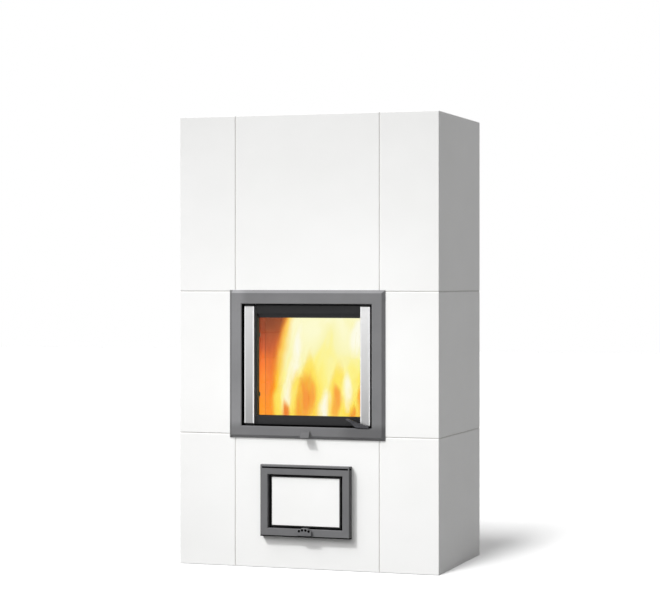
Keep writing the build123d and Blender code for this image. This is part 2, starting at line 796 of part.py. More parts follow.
def make_door_leaf():
    """Door with a glazed window, lugs for the bars and hinge pins, and a rebate for the glass."""
    leaf = panel(door, (door_front_y, door_back_y))
    leaf = fillet(edges_on(leaf, "Y", door_front_y), door_edge_round)
    leaf -= panel(door_window, (door_front_y - overcut, door_back_y + overcut))
    leaf -= panel(glass_seat, (door_back_y - glass_rebate_depth, door_back_y + overcut))
    lug_y = (bar_front_y + door_lug_setback, door_front_y + door_edge_round)
    for side in sides.values():
        for z in ((door[2], door[2] + door_lug_height), (door[3] - door_lug_height, door[3])):
            leaf += block(mirrored(door[1] - bar_width, door[1], side), lug_y, z)
    for z in ((door[2] - overcut, door[2] + door_lug_height), (door[3] - door_lug_height, door[3] + overcut)):
        leaf -= rod_z(door_hinge_x, door_hinge_y, hinge_pin_radius, z)
    through = (door_front_y - overcut, door_back_y + overcut)
    leaf -= rod_y(latch_x(), latch_z(), latch_spindle_radius + pin_play, through)
    for x, z in bar_screw_places():
        leaf -= rod_y(x, z, small_screw_radius + screw_play, through)
    for side, x, z in clip_places():
        leaf -= rod_y(x + side * clip_flange(side) / 2, z, small_screw_radius + screw_play,
                      (door_back_y - clip_screw_depth, door_back_y + overcut))
    node("firebox_door_leaf", leaf)


def make_door_bars():
    """Aluminium bars down both sides of the door, screwed from behind."""
    z = (door[2] + door_lug_height, door[3] - door_lug_height)
    for name, side in sides.items():
        bar = block(mirrored(door[1] - bar_width, door[1], side), (bar_front_y, door_front_y), z)
        bar = chamfer(edges_on(bar, "Y", bar_front_y), bar_chamfer)
        for x, height in bar_screw_places():
            if x * side > 0:
                bar -= rod_y(x, height, small_screw_radius + screw_play,
                             (door_front_y - bar_screw_depth, door_front_y + overcut))
        node(f"{name}_door_bar", bar)
    pins = [rod_z(door_hinge_x, door_hinge_y, hinge_pin_radius, z)
            for z in ((frame_opening[2] - hinge_pin_depth, door[2] + door_lug_height),
                      (door[3] - door_lug_height, frame_opening[3] + hinge_pin_depth))]
    node("firebox_hinge_pins", *pins)


def make_glazing():
    pane = shrink(glass_seat, glass_play)
    glass_y = (glass_front_y, glass_front_y + glass_thickness)
    node("firebox_glass", panel(pane, glass_y))
    node("glass_gasket", ring(pane, shrink(pane, glass_gasket_width),
                              (glass_front_y - glass_gasket_thickness, glass_front_y)))
    clip_back_y = door_back_y + clip_sheet
    clips = []
    screws = []
    for side, x, z in clip_places():
        height = (z - clip_half_height, z + clip_half_height)
        edge = side * x
        flange = block(mirrored(edge, edge + clip_flange(side), side), (door_back_y, clip_back_y), height)
        tongue = block(mirrored(edge - glass_rebate, edge, side), (glass_y[1], clip_back_y), height)
        hole_x = x + side * clip_flange(side) / 2
        bore = rod_y(hole_x, z, small_screw_radius + screw_play,
                     (door_back_y - overcut, clip_back_y + overcut))
        clips.append(flange + tongue - bore)
        screws.append(screw(hole_x, z, clip_back_y, clip_screw_depth, small_screw_radius,
                            small_head_radius, small_head_height))
    node("glass_clips", *clips)
    reach = door_thickness + bar_screw_depth - running_gap
    screws += [screw(x, height, door_back_y, reach, small_screw_radius, small_head_radius, small_head_height)
               for x, height in bar_screw_places()]
    node("door_screws", *screws)
    upright_y = door_front_y + air_wash_setback
    strip_x = (door_window[0], door_window[1])
    strip = block(strip_x, (upright_y, upright_y + air_wash_sheet),
                  (door_window[3] - air_wash_height, door_window[3]))
    strip += block(strip_x, (door_front_y + door_edge_round, upright_y),
                   (door_window[3] - air_wash_sheet, door_window[3]))
    node("air_wash_strip", strip)
    node("firebox_door_seal", ring(door_seal_outer, door_seal_inner,
                                   (door_back_y, door_back_y + door_seal_width)))


def make_firebox_latch():
    """Curved lever at the lower right of the door, its spindle and the cam behind the door."""
    back = bar_front_y - latch_lever_gap
    y = (back - latch_lever_thickness, back)
    hub = (latch_x(), latch_z())
    tip = (hub[0] - latch_tip_reach, hub[1] + latch_tip_rise)
    knee = (hub[0] - latch_knee_reach, hub[1] + latch_knee_rise)
    wrist = (hub[0] + latch_wrist_reach, hub[1] - latch_wrist_drop)
    end = (hub[0] + latch_end_reach, hub[1] - latch_end_drop)
    lever = link(knee, latch_knee_radius, tip, latch_tip_radius, y)
    lever += link(hub, latch_hub_radius, knee, latch_knee_radius, y)
    lever += link(hub, latch_hub_radius, wrist, latch_wrist_radius, y)
    lever += link(wrist, latch_wrist_radius, end, latch_end_radius, y)
    lever += rod_y(*hub, latch_boss_radius, (back, door_front_y - running_gap))
    bore_y = (back - latch_lever_thickness / 2, door_front_y)
    lever -= rod_y(*hub, latch_spindle_radius, bore_y)
    node("firebox_latch_lever", lever)
    tongue_front_y = door_back_y + running_gap + keeper_thickness + latch_play
    tongue_y = (tongue_front_y, tongue_front_y + latch_tongue_thickness)
    cam_y = (door_back_y + running_gap, tongue_y[1])
    droop = math.radians(latch_tongue_droop)
    tongue_end = (hub[0] + latch_tongue_reach * math.cos(droop),
                  hub[1] - latch_tongue_reach * math.sin(droop))
    cam = rod_y(*hub, latch_cam_radius, cam_y)
    cam += link(hub, latch_cam_radius, tongue_end, latch_tongue_half_width, tongue_y)
    node("firebox_latch_spindle", cam + rod_y(*hub, latch_spindle_radius, (bore_y[0], cam_y[1])))


# ------------------------------------------------------------------ ash door frame and casing
def ash_anchor_places():
    outer, inner = ash_frame_outer, ash_hole
    return [(x, z) for x in ((outer[0] + inner[0]) / 2, (outer[1] + inner[1]) / 2)
            for z in ((outer[2] + inner[2]) / 2, (outer[3] + inner[3]) / 2)]


def latch_nose_y():
    front = ash_face_y + ash_latch_nose_from_face
    return (front, front + ash_latch_nose_length)


def make_ash_frame():
    """Raised, bevelled steel frame with a shadow groove in its head and a pocket for the latch nose."""
    bevel_y = ash_face_y + ash_frame_bevel_depth
    bevel = loft([upright_face(ash_frame_outer, bevel_y),
                  upright_face(shrink(ash_frame_outer, ash_frame_bevel_width), ash_face_y)], ruled=True)
    frame = bevel + panel(ash_frame_outer, (bevel_y, front_y))
    frame -= panel(ash_opening, (ash_face_y - overcut, front_y + overcut))
    frame = chamfer(face_edges_round(frame, ash_opening, ash_face_y), ash_frame_arris)
    groove_top = ash_frame_outer[3] - ash_groove_from_top
    frame -= block((ash_frame_outer[0] + ash_groove_inset, ash_frame_outer[1] - ash_groove_inset),
                   (ash_face_y - overcut, ash_face_y + ash_groove_depth),
                   (groove_top - ash_groove_height, groove_top))
    for z in ((ash_opening[2] - ash_pin_depth - running_gap, ash_opening[2] + overcut),
              (ash_opening[3] - overcut, ash_opening[3] + ash_pin_depth + running_gap)):
        frame -= rod_z(ash_hinge_x, ash_hinge_y, ash_pin_radius + pin_play, z)
    nose_y = latch_nose_y()
    pocket = ash_latch_nose_half_width + 2 * running_gap
    frame -= block((-pocket, pocket), (nose_y[0] - running_gap, nose_y[1] + running_gap),
                   (ash_opening[2] - ash_latch_nose_depth - running_gap, ash_opening[2] + overcut))
    for x, z in ash_anchor_places():
        frame -= rod_y(x, z, anchor_radius + screw_play, (front_y - anchor_in_frame, front_y + overcut))
    node("ash_frame", frame)
    anchor_y = (front_y - anchor_in_frame, front_y + anchor_in_tile)
    node("ash_frame_anchors", *[rod_y(x, z, anchor_radius, anchor_y) for x, z in ash_anchor_places()])


def make_ash_casing():
    outer = shrink(ash_opening, -ash_casing_wall)
    casing = ring(outer, ash_opening, (front_y, casing_back_y))
    casing += ring(ash_opening, shrink(ash_opening, ash_stop_border),
                   (ash_stop_y, ash_stop_y + ash_stop_thickness))
    node("ash_casing", casing)
    runners = []
    for side in sides.values():
        x = mirrored(pan_half_width - runner_width, pan_half_width, side)
        web_x = mirrored(pan_half_width - runner_sheet, pan_half_width, side)
        y = (ash_stop_y + ash_stop_thickness, ash_wall_end_y)
        flange = block(x, y, (runner_top - runner_sheet, runner_top))
        runners.append(flange + block(web_x, y, (ash_sill_height, runner_top)))
    node("ash_pan_runners", *runners)


# ------------------------------------------------------------------ ash door
def ash_screw_places():
    x = (ash_panel[1] - ash_panel[0]) / 3
    middle = (ash_panel[2] + ash_panel[3]) / 2
    rise = (ash_panel[3] - ash_panel[2]) / 4
    return [(side * x, middle + step * rise) for side in (-1, 1) for step in (-1, 1)]


def make_ash_door():
    """Steel tray that holds a tile to match the shell."""
    tray = panel(ash_tray, (ash_panel_y[0] + ash_tray_setback, ash_tray_back_y))
    tray -= panel(ash_panel, (ash_panel_y[0] - overcut, ash_panel_y[1]))
    arm = ash_latch_arm_half_width + running_gap
    tray -= block((-arm, arm), (ash_panel_y[0] - overcut, ash_tray_back_y + overcut),
                  (ash_tray[2] - overcut, ash_panel[2] - ash_latch_overlap))
    for z in ((ash_tray[2] - overcut, ash_panel[2]), (ash_panel[3], ash_tray[3] + overcut)):
        tray -= rod_z(ash_hinge_x, ash_hinge_y, ash_pin_radius, z)
    for x, z in ash_screw_places():
        tray -= rod_y(x, z, small_screw_radius + screw_play,
                      (ash_panel_y[1] - overcut, ash_tray_back_y + overcut))
    node("ash_door_tray", tray)
    tile = chamfer(edges_on(panel(ash_panel, ash_panel_y), "Y", ash_panel_y[0]), ash_panel_arris)
    for x, z in ash_screw_places():
        tile -= rod_y(x, z, small_screw_radius + screw_play,
                      (ash_panel_y[1] - ash_tile_screw_depth, ash_panel_y[1] + overcut))
    node("ash_door_tile", tile)
    shank = ash_tray_sheet + ash_tile_screw_depth - running_gap
    node("ash_door_screws", *[screw(x, z, ash_tray_back_y, shank, small_screw_radius, small_head_radius,
                                    small_head_height) for x, z in ash_screw_places()])
    node("ash_door_seal", ring(ash_seal_outer, ash_seal_inner, (ash_tray_back_y, ash_stop_y - running_gap)))
    pin_ends = ((ash_opening[2] - ash_pin_depth, ash_panel[2]),
                (ash_panel[3], ash_opening[3] + ash_pin_depth))
    node("ash_hinge_pins", *[rod_z(ash_hinge_x, ash_hinge_y, ash_pin_radius, z) for z in pin_ends])


def make_ash_latch():
    """Finger piece over the lower rail, joined by an arm to the nose and a guided blade."""
    arm_z = (ash_opening[2] + running_gap, ash_opening[2] + running_gap + ash_latch_arm_sheet)
    top = arm_z[1] + ash_latch_overlap
    bottom = top - ash_latch_height
    back = ash_face_y - running_gap
    half = ash_latch_half_width
    shoulder = bottom + ash_latch_shoulder
    points = [(-half, -bottom), (half, -bottom), (half, -shoulder)]
    outline = Polyline(*points) + ThreePointArc((half, -shoulder), (0, -top), (-half, -shoulder))
    outline += Line((-half, -shoulder), (-half, -bottom))
    front = back - ash_latch_thickness
    body = Pos(0, front, 0) * Rot(-90, 0, 0) * extrude(make_face(outline), ash_latch_thickness)
    body = fillet(edges_on(body, "Y", front), ash_latch_edge_round)
    pocket_y = (front - overcut, front + ash_pocket_depth)
    for side in sides.values():
        body -= rod_y(side * ash_outer_pocket_place, top - ash_outer_pocket_drop,
                      ash_outer_pocket_radius, pocket_y)
        body -= rod_y(side * ash_inner_pocket_place, top - ash_inner_pocket_drop,
                      ash_inner_pocket_radius, pocket_y)
    blade_y = (ash_tray_back_y + running_gap, ash_tray_back_y + running_gap + ash_latch_arm_sheet)
    arm_x = (-ash_latch_arm_half_width, ash_latch_arm_half_width)
    arm = block(arm_x, (back - overcut, blade_y[1]), arm_z)
    arm += block(arm_x, blade_y, (arm_z[0], arm_z[0] + ash_latch_blade_height))
    arm += block((-ash_latch_nose_half_width, ash_latch_nose_half_width), latch_nose_y(),
                 (ash_opening[2] - ash_latch_nose_depth, arm_z[1]))
    node("ash_latch", body + arm)
    guide_z = (ash_tray[2], ash_tray[2] + ash_guide_height)
    guide = block((-ash_guide_half_width, ash_guide_half_width),
                  (ash_tray_back_y, blade_y[1] + running_gap + ash_guide_wall), guide_z)
    reach = ash_latch_arm_half_width + running_gap
    guide -= block((-reach, reach), (ash_tray_back_y - overcut, blade_y[1] + running_gap),
                   (guide_z[0] - overcut, guide_z[1] + overcut))
    node("ash_latch_guide", guide)


def make_ash_pan():
    """Folded sheet pan on the runners, with a wire handle."""
    front = ash_face_y + pan_setback + ash_frame_proud
    z = (runner_top + running_gap, runner_top + running_gap + pan_height)
    half = pan_half_width
    pan = block((-half, half), (front, front + pan_length), z)
    pan -= block((-half + pan_wall, half - pan_wall), (front + pan_wall, front + pan_length - pan_wall),
                 (z[0] + pan_wall, z[1] + overcut))
    level = (z[0] + z[1]) / 2
    reach = front - pan_handle_reach
    side = pan_handle_half_width
    corners = [(-side, front, level), (-side, reach, level), (side, reach, level), (side, front, level)]
    wire = FilletPolyline(*corners, radius=pan_handle_bend)
    section = Plane(origin=wire @ 0, z_dir=wire % 0) * Circle(pan_handle_radius)
    node("ash_pan", pan, sweep(section, wire))


make_shell()
make_joints()
make_lintel_angle()
make_insulation()
make_base_and_walls()
make_front_lintel()
make_firebox()
make_hearth()
make_upper_chamber()
make_flue_collar()
make_firebox_frame()
make_firebox_casing()
make_keeper()
make_air_control()
make_door_leaf()
make_door_bars()
make_glazing()
make_firebox_latch()
make_ash_frame()
make_ash_casing()
make_ash_door()
make_ash_latch()
make_ash_pan()

os.makedirs("parts", exist_ok=True)
for name, solids in nodes.items():
    export_step(solids[0] if len(solids) == 1 else Compound(children=solids), f"parts/{name}.step")
print(len(nodes), "pieces written")
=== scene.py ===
import itertools
import math
import random

import bpy
from mathutils import Matrix, Vector, noise


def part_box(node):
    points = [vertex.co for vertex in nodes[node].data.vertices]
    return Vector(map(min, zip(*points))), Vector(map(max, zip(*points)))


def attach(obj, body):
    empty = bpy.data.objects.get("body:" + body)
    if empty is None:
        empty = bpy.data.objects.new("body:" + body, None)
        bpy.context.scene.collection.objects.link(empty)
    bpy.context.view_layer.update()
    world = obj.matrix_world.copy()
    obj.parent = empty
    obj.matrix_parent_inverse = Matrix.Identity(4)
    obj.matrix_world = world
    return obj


# Looks of the tiled stove.  Metres, in the model's frame: the front faces -Y, Z is up.

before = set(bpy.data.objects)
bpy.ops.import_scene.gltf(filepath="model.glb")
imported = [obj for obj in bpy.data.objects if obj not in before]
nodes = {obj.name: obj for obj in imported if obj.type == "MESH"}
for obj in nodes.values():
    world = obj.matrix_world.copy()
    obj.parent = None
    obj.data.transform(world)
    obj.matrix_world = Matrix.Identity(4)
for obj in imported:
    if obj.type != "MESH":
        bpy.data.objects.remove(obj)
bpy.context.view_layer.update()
scene = bpy.context.scene
WHITE = (1.0, 1.0, 1.0)


# ------------------------------------------------------------------ camera, light and floor
# Angles are in degrees, the lens and its sensor in millimetres.
CAMERA_PLACE = (2.220, -6.609, 0.9493)
CAMERA_YAW = 18.61
CAMERA_LENS = 111.23
CAMERA_SENSOR = 36.0
CAMERA_SHIFT = (-0.00086, -0.0285)
CAMERA_REACH = 200.0
SUN_DIRECTION = Vector((0.455, 0.48, -0.75))
CRISP_SUN = 1.80
CRISP_SUN_SPREAD = 4.0
BROAD_SUN = 2.15
BROAD_SUN_SPREAD = 38.0
FLOOR_SUN = 2.75
FLOOR_SUN_SPREAD = 9.0
FLOOR_SUN_LEAN = 3.9
FLOOR_SUN_TILTS = (15.0, 19.5, 24.0, 29.0, 34.0)
SOFTBOX_POWER = 2.9
SOFTBOX_PLACE = (0.0, -1.15, 0.66)
SOFTBOX_AIM = (0.0, 0.0, 0.66)
SOFTBOX_SIZE = (1.7, 0.3)
FILL_STRENGTH = 0.30
FLOOR_SIZE = 40.0
FLOOR_DROP = 0.0004
FLOOR_BOUNCE = 0.21
FLOOR_TONE = 0.80
FLOOR_GLOW = 0.20


def make_camera():
    data = bpy.data.cameras.new("camera")
    data.lens = CAMERA_LENS
    data.sensor_width = CAMERA_SENSOR
    data.shift_x, data.shift_y = CAMERA_SHIFT
    data.clip_end = CAMERA_REACH
    camera = bpy.data.objects.new("camera", data)
    camera.location = CAMERA_PLACE
    camera.rotation_euler = (math.radians(90), 0, math.radians(CAMERA_YAW))
    scene.collection.objects.link(camera)
    scene.camera = camera


def add_light(name, kind, place, aim, energy, colour=WHITE):
    """A lamp that no camera or reflection ray sees."""
    data = bpy.data.lights.new(name, kind)
    data.energy = energy
    data.color = colour
    lamp = bpy.data.objects.new(name, data)
    lamp.location = place
    lamp.rotation_euler = (Vector(aim) - Vector(place)).to_track_quat("-Z", "Y").to_euler()
    lamp.visible_camera = False
    lamp.visible_glossy = False
    lamp.visible_transmission = False
    scene.collection.objects.link(lamp)
    return lamp


def seen_rays(tree):
    """1 for camera, mirror and glass rays, 0 for those that light other surfaces."""
    path = tree.nodes.new("ShaderNodeLightPath")
    total = None
    for name in ("Is Camera Ray", "Is Glossy Ray", "Is Transmission Ray"):
        if total is None:
            total = path.outputs[name]
            continue
        both = tree.nodes.new("ShaderNodeMath")
        both.operation = "MAXIMUM"
        tree.links.new(total, both.inputs[0])
        tree.links.new(path.outputs[name], both.inputs[1])
        total = both.outputs[0]
    return total


def make_light(floor):
    """Two suns and a low softbox for the stove, steeper suns for the floor's short shadow, and a fill."""
    on_floor = bpy.data.collections.new("lit_floor")
    on_floor.objects.link(floor)
    off_floor = bpy.data.collections.new("lit_stove")
    off_floor.objects.link(floor)
    off_floor.collection_objects[0].light_linking.link_state = "EXCLUDE"
    suns = [("crisp_sun", CRISP_SUN, CRISP_SUN_SPREAD, SUN_DIRECTION, off_floor),
            ("broad_sun", BROAD_SUN, BROAD_SUN_SPREAD, SUN_DIRECTION, off_floor)]
    share = FLOOR_SUN / len(FLOOR_SUN_TILTS)
    for index, tilt in enumerate(FLOOR_SUN_TILTS):
        down = Vector((math.tan(math.radians(FLOOR_SUN_LEAN)), math.tan(math.radians(tilt)), -1.0))
        suns.append((f"floor_sun_{index + 1}", share, FLOOR_SUN_SPREAD, down, on_floor))
    for name, strength, spread, direction, lit in suns:
        sun = add_light(name, "SUN", (0, 0, 0), direction, strength)
        sun.data.angle = math.radians(spread)
        sun.light_linking.receiver_collection = lit
    front = add_light("front_softbox", "AREA", SOFTBOX_PLACE, SOFTBOX_AIM, SOFTBOX_POWER)
    front.light_linking.receiver_collection = off_floor
    front.data.shape = "RECTANGLE"
    front.data.size, front.data.size_y = SOFTBOX_SIZE

    world = bpy.data.worlds.new("studio")
    world.use_nodes = True
    scene.world = world
    tree = world.node_tree
    background = tree.nodes["Background"]
    background.inputs["Color"].default_value = (*WHITE, 1)
    fill = tree.nodes.new("ShaderNodeMapRange")
    fill.inputs["To Min"].default_value = FILL_STRENGTH
    fill.inputs["To Max"].default_value = 1.0
    tree.links.new(seen_rays(tree), fill.inputs["Value"])
    tree.links.new(fill.outputs[0], background.inputs["Strength"])


def make_floor():
    half = FLOOR_SIZE / 2
    corners = [(-half, -half, 0), (half, -half, 0), (half, half, 0), (-half, half, 0)]
    mesh = bpy.data.meshes.new("floor")
    mesh.from_pydata(corners, [], [(0, 1, 2, 3)])
    floor = bpy.data.objects.new("floor", mesh)
    floor.location.z = -FLOOR_DROP
    scene.collection.objects.link(floor)
    material = bpy.data.materials.new("floor_white")
    material.use_nodes = True
    tree = material.node_tree
    shader = tree.nodes["Principled BSDF"]
    seen = seen_rays(tree)
    tone = tree.nodes.new("ShaderNodeMapRange")
    tone.inputs["To Min"].default_value = FLOOR_BOUNCE
    tone.inputs["To Max"].default_value = FLOOR_TONE
    tree.links.new(seen, tone.inputs["Value"])
    tree.links.new(tone.outputs[0], shader.inputs["Base Color"])
    shader.inputs["Roughness"].default_value = 0.9
    shader.inputs["Specular IOR Level"].default_value = 0.0
    shader.inputs["Emission Color"].default_value = (*WHITE, 1)
    glow = tree.nodes.new("ShaderNodeMath")
    glow.operation = "MULTIPLY"
    glow.inputs[1].default_value = FLOOR_GLOW
    tree.links.new(seen, glow.inputs[0])
    tree.links.new(glow.outputs[0], shader.inputs["Emission Strength"])
    mesh.materials.append(material)
    return floor


# ------------------------------------------------------------------ material toolkit
EDGE_SOFT = 0.0006
OPENING_MARGIN = 0.0012
DEEP_SOFT = 0.0012
PLAIN_SPECULAR = 0.5


class Finish:
    """A Principled material and the node pieces that vary it over the surface."""

    def __init__(self, name, colour, roughness=0.5, metallic=0.0):
        self.material = bpy.data.materials.new(name)
        self.material.use_nodes = True
        self.tree = self.material.node_tree
        self.shader = self.tree.nodes["Principled BSDF"]
        self.where = self.tree.nodes.new("ShaderNodeTexCoord").outputs["Object"]
        self.set("Base Color", (*colour, 1))
        self.set("Roughness", roughness)
        self.set("Metallic", metallic)
        self.normal = None

    def set(self, socket, value):
        self.shader.inputs[socket].default_value = value
        return self

    def link(self, output, socket):
        self.tree.links.new(output, self.shader.inputs[socket])
        return self

    def add(self, kind, **inputs):
        """A node with some inputs set; a socket value is linked, anything else is its default."""
        made = self.tree.nodes.new(kind)
        for name, value in inputs.items():
            socket = made.inputs[name.replace("_", " ")]
            if isinstance(value, bpy.types.NodeSocket):
                self.tree.links.new(value, socket)
            else:
                socket.default_value = value
        return made

    def stretched(self, factors):
        """Coordinates scaled by a different factor along each axis."""
        if factors is None:
            return self.where
        return self.add("ShaderNodeMapping", Vector=self.where, Scale=factors).outputs[0]

    def noise(self, scale, detail=4.0, rough=0.55, stretch=None, twist=0.0):
        made = self.add("ShaderNodeTexNoise", Vector=self.stretched(stretch), Scale=scale, Detail=detail,
                        Roughness=rough, Distortion=twist)
        return made.outputs[0]

    def cells(self, scale, feature="F1", stretch=None):
        made = self.add("ShaderNodeTexVoronoi", Vector=self.stretched(stretch), Scale=scale)
        made.feature = feature
        return made.outputs["Distance"]

    def ramp(self, value, *stops):
        """Colour ramp through (position, colour or number) stops."""
        made = self.add("ShaderNodeValToRGB", Fac=value)
        band = made.color_ramp.elements
        while len(band) < len(stops):
            band.new(0.5)
        for element, (position, colour) in zip(band, stops):
            element.position = position
            grey = isinstance(colour, (int, float))
            element.color = (colour, colour, colour, 1) if grey else (*colour, 1)
        return made.outputs[0]

    def math(self, operation, first, second=0.0, clamp=False):
        made = self.tree.nodes.new("ShaderNodeMath")
        made.operation = operation
        made.use_clamp = clamp
        for socket, value in zip(made.inputs, (first, second)):
            if isinstance(value, bpy.types.NodeSocket):
                self.tree.links.new(value, socket)
            else:
                socket.default_value = value
        return made.outputs[0]

    def inverse(self, value):
        return self.math("SUBTRACT", 1.0, value)

    def product(self, *values):
        total = values[0]
        for value in values[1:]:
            total = self.math("MULTIPLY", total, value)
        return total

    def distance(self, axis, place):
        """How far a point lies from a given X, Y or Z."""
        return self.math("ABSOLUTE", self.math("SUBTRACT", self.part(self.where, axis), place))

    def blend(self, factor, first, second, mode="MIX"):
        made = self.tree.nodes.new("ShaderNodeMix")
        made.data_type = "RGBA"
        made.blend_type = mode
        for index, value in ((0, factor), (6, first), (7, second)):
            if isinstance(value, bpy.types.NodeSocket):
                self.tree.links.new(value, made.inputs[index])
            else:
                made.inputs[index].default_value = value if isinstance(value, (int, float)) else (*value, 1)
        return made.outputs[2]

    def part(self, source, axis):
        """One coordinate of a vector."""
        return self.add("ShaderNodeSeparateXYZ", Vector=source).outputs[axis]

    def beyond(self, value, limit, soft):
        """0 below a limit and 1 above it, with a soft step."""
        made = self.add("ShaderNodeMapRange", Value=value,
                        From_Min=limit - soft / 2, From_Max=limit + soft / 2)
        made.interpolation_type = "SMOOTHSTEP"
        return made.outputs[0]

    def round_opening(self, area, deeper_than):
        """1 on the faces round an opening (x low, x high, z low, z high) that lie behind a given Y."""
        x_low, x_high, z_low, z_high = area
        past_side = self.math("SUBTRACT", self.distance(0, (x_low + x_high) / 2), (x_high - x_low) / 2)
        past_end = self.math("SUBTRACT", self.distance(2, (z_low + z_high) / 2), (z_high - z_low) / 2)
        outside = self.beyond(self.math("MAXIMUM", past_side, past_end), OPENING_MARGIN, EDGE_SOFT)
        deep = self.beyond(self.part(self.where, 1), deeper_than, DEEP_SOFT)
        return self.product(self.inverse(outside), deep)

    def band(self, axis, low, high):
        """1 where a coordinate lies between two limits."""
        where = self.part(self.where, axis)
        return self.product(self.beyond(where, low, EDGE_SOFT),
                            self.inverse(self.beyond(where, high, EDGE_SOFT)))

    def tint(self, mask, factor):
        """Multiply the base colour by a factor, also above 1, where the mask is 1."""
        colour = self.shader.inputs["Base Color"].links[0].from_socket
        value = self.math("ADD", 1.0, self.product(mask, factor - 1.0))
        made = self.tree.nodes.new("ShaderNodeVectorMath")
        made.operation = "SCALE"
        self.tree.links.new(colour, made.inputs[0])
        self.tree.links.new(value, made.inputs["Scale"])
        return self.link(made.outputs[0], "Base Color")

    def paint_shade(self, mask, amount):
        """Painted shade where the mask is 1: the colour goes down by an amount and the gloss goes."""
        colour = self.shader.inputs["Base Color"].links[0].from_socket
        shade = self.ramp(mask, (0.0, 1.0), (1.0, 1.0 - amount))
        self.link(self.blend(1.0, colour, shade, "MULTIPLY"), "Base Color")
        return self.link(self.product(self.inverse(mask), PLAIN_SPECULAR), "Specular IOR Level")

    def relief(self, height, depth, strength=1.0):
        """Bump of a given depth in metres, on top of what was added before."""
        made = self.add("ShaderNodeBump", Height=height, Distance=depth, Strength=strength)
        if self.normal:
            self.tree.links.new(self.normal, made.inputs["Normal"])
        self.normal = made.outputs[0]
        self.link(self.normal, "Normal")
        return self

    def put_on(self, *names):
        for name in names:
            paint(nodes[name], self)
        return self


def paint(thing, finish):
    thing.data.materials.clear()
    thing.data.materials.append(finish.material)


# ------------------------------------------------------------------ places and sizes of the CAD pieces
HEARTH_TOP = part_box("hearth_slab")[1][2]
FIREBOX_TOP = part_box("throat_slab")[0][2]
FIREBOX_HALF_WIDTH = 0.200
FRONT_BRICK_DEPTH = 0.048
FRONT_BRICK_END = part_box("firebox_side_bricks")[0][1] + FRONT_BRICK_DEPTH
# Gaps are (beside, over and under) a door.  The groove is (top, bottom), measured down from the frame's top.
# A finger pocket is (distance from the middle, drop from the piece's top, radius).
DOOR_GAP = (0.0075, 0.004)
FRAME_BEVEL = 0.010
# Widths of the painted shade bands along the ash frame's side edges and its lower edge.
ASH_FRAME_EDGE_SHADE = 0.003
ASH_FRAME_LOWER_SHADE = 0.0042
ASH_GROOVE = (0.0065, 0.0120)
ASH_DOOR_GAP = (0.01225, 0.00925)
FINGER_PIECE_HEIGHT = 0.0245
FINGER_POCKETS = ((0.0167, 0.0090, 0.0042), (0.0059, 0.0060, 0.0040))
# Width of the painted highlight along each arris of a door bar.
BAR_HIGHLIGHT_WIDTH = 0.004
# How far a mask reaches past a piece's edge, so that the edge itself is inside it.
PAST_EDGE = 0.001


# ------------------------------------------------------------------ finishes
def glazed_tile():
    finish = Finish("white_glaze", (0.89, 0.89, 0.88), 0.34)
    broad = finish.noise(3.1, detail=2.0)
    fine = finish.noise(55.0, detail=5.0)
    tone = finish.ramp(broad, (0.30, (0.872, 0.872, 0.862)), (0.70, (0.905, 0.905, 0.898)))
    pin_holes = finish.ramp(finish.cells(210.0), (0.02, 0.86), (0.07, 1.0))
    finish.link(finish.blend(1.0, tone, pin_holes, "MULTIPLY"), "Base Color")
    finish.link(finish.ramp(fine, (0.3, 0.30), (0.7, 0.42)), "Roughness")
    finish.set("IOR", 1.25)
    finish.relief(finish.noise(14.0, detail=2.0), 0.0012, 0.5)
    return finish.relief(finish.noise(240.0, detail=3.0), 0.00012, 0.8)


def mortar():
    finish = Finish("mortar", (0.60, 0.60, 0.58), 0.9)
    sand = finish.noise(900.0, detail=3.0)
    finish.link(finish.ramp(sand, (0.3, (0.60, 0.59, 0.57)), (0.7, (0.78, 0.77, 0.75))), "Base Color")
    return finish.relief(sand, 0.0003)


def concrete(name, dark, light):
    finish = Finish(name, light, 0.88)
    cloud = finish.ramp(finish.noise(5.0, detail=8.0, rough=0.65), (0.32, dark), (0.68, light))
    pores = finish.cells(95.0)
    shade = finish.ramp(pores, (0.05, 0.45), (0.16, 1.0))
    finish.link(finish.blend(1.0, cloud, shade, "MULTIPLY"), "Base Color")
    finish.relief(finish.ramp(pores, (0.04, 0.0), (0.18, 1.0)), 0.0012)
    return finish.relief(finish.noise(260.0, detail=4.0), 0.0004)


# Painted firelight on the firebox bricks, in place of the fire's light: its colours from FIRELIGHT_PAINT_FOOT
# upwards, over a height of 1 / FIRELIGHT_PAINT_RATE.
FIRELIGHT_PAINT_FOOT = 0.44
FIRELIGHT_PAINT_RATE = 2.3
FIRELIGHT_PAINT_WANDER = 0.16
FIRELIGHT_PAINT = ((0.0, (0.84, 0.31, 0.018)), (0.30, (0.80, 0.235, 0.013)), (0.48, (0.67, 0.13, 0.010)),
        (0.64, (0.34, 0.032, 0.006)), (0.82, (0.10, 0.006, 0.002)), (0.97, (0.05, 0.003, 0.001)))
FIRELIGHT_PAINT_STRENGTH = 0.94
# Extra painted firelight on the front brick, more of it high up, and less in the seam behind it.
FRONT_BRICK_EXTRA_FIRELIGHT = 0.20
FRONT_BRICK_FIRELIGHT_HIGH_FROM = 0.74
SEAM_FIRELIGHT_LOSS = 0.55
SEAM_HALF_WIDTH = 0.0022


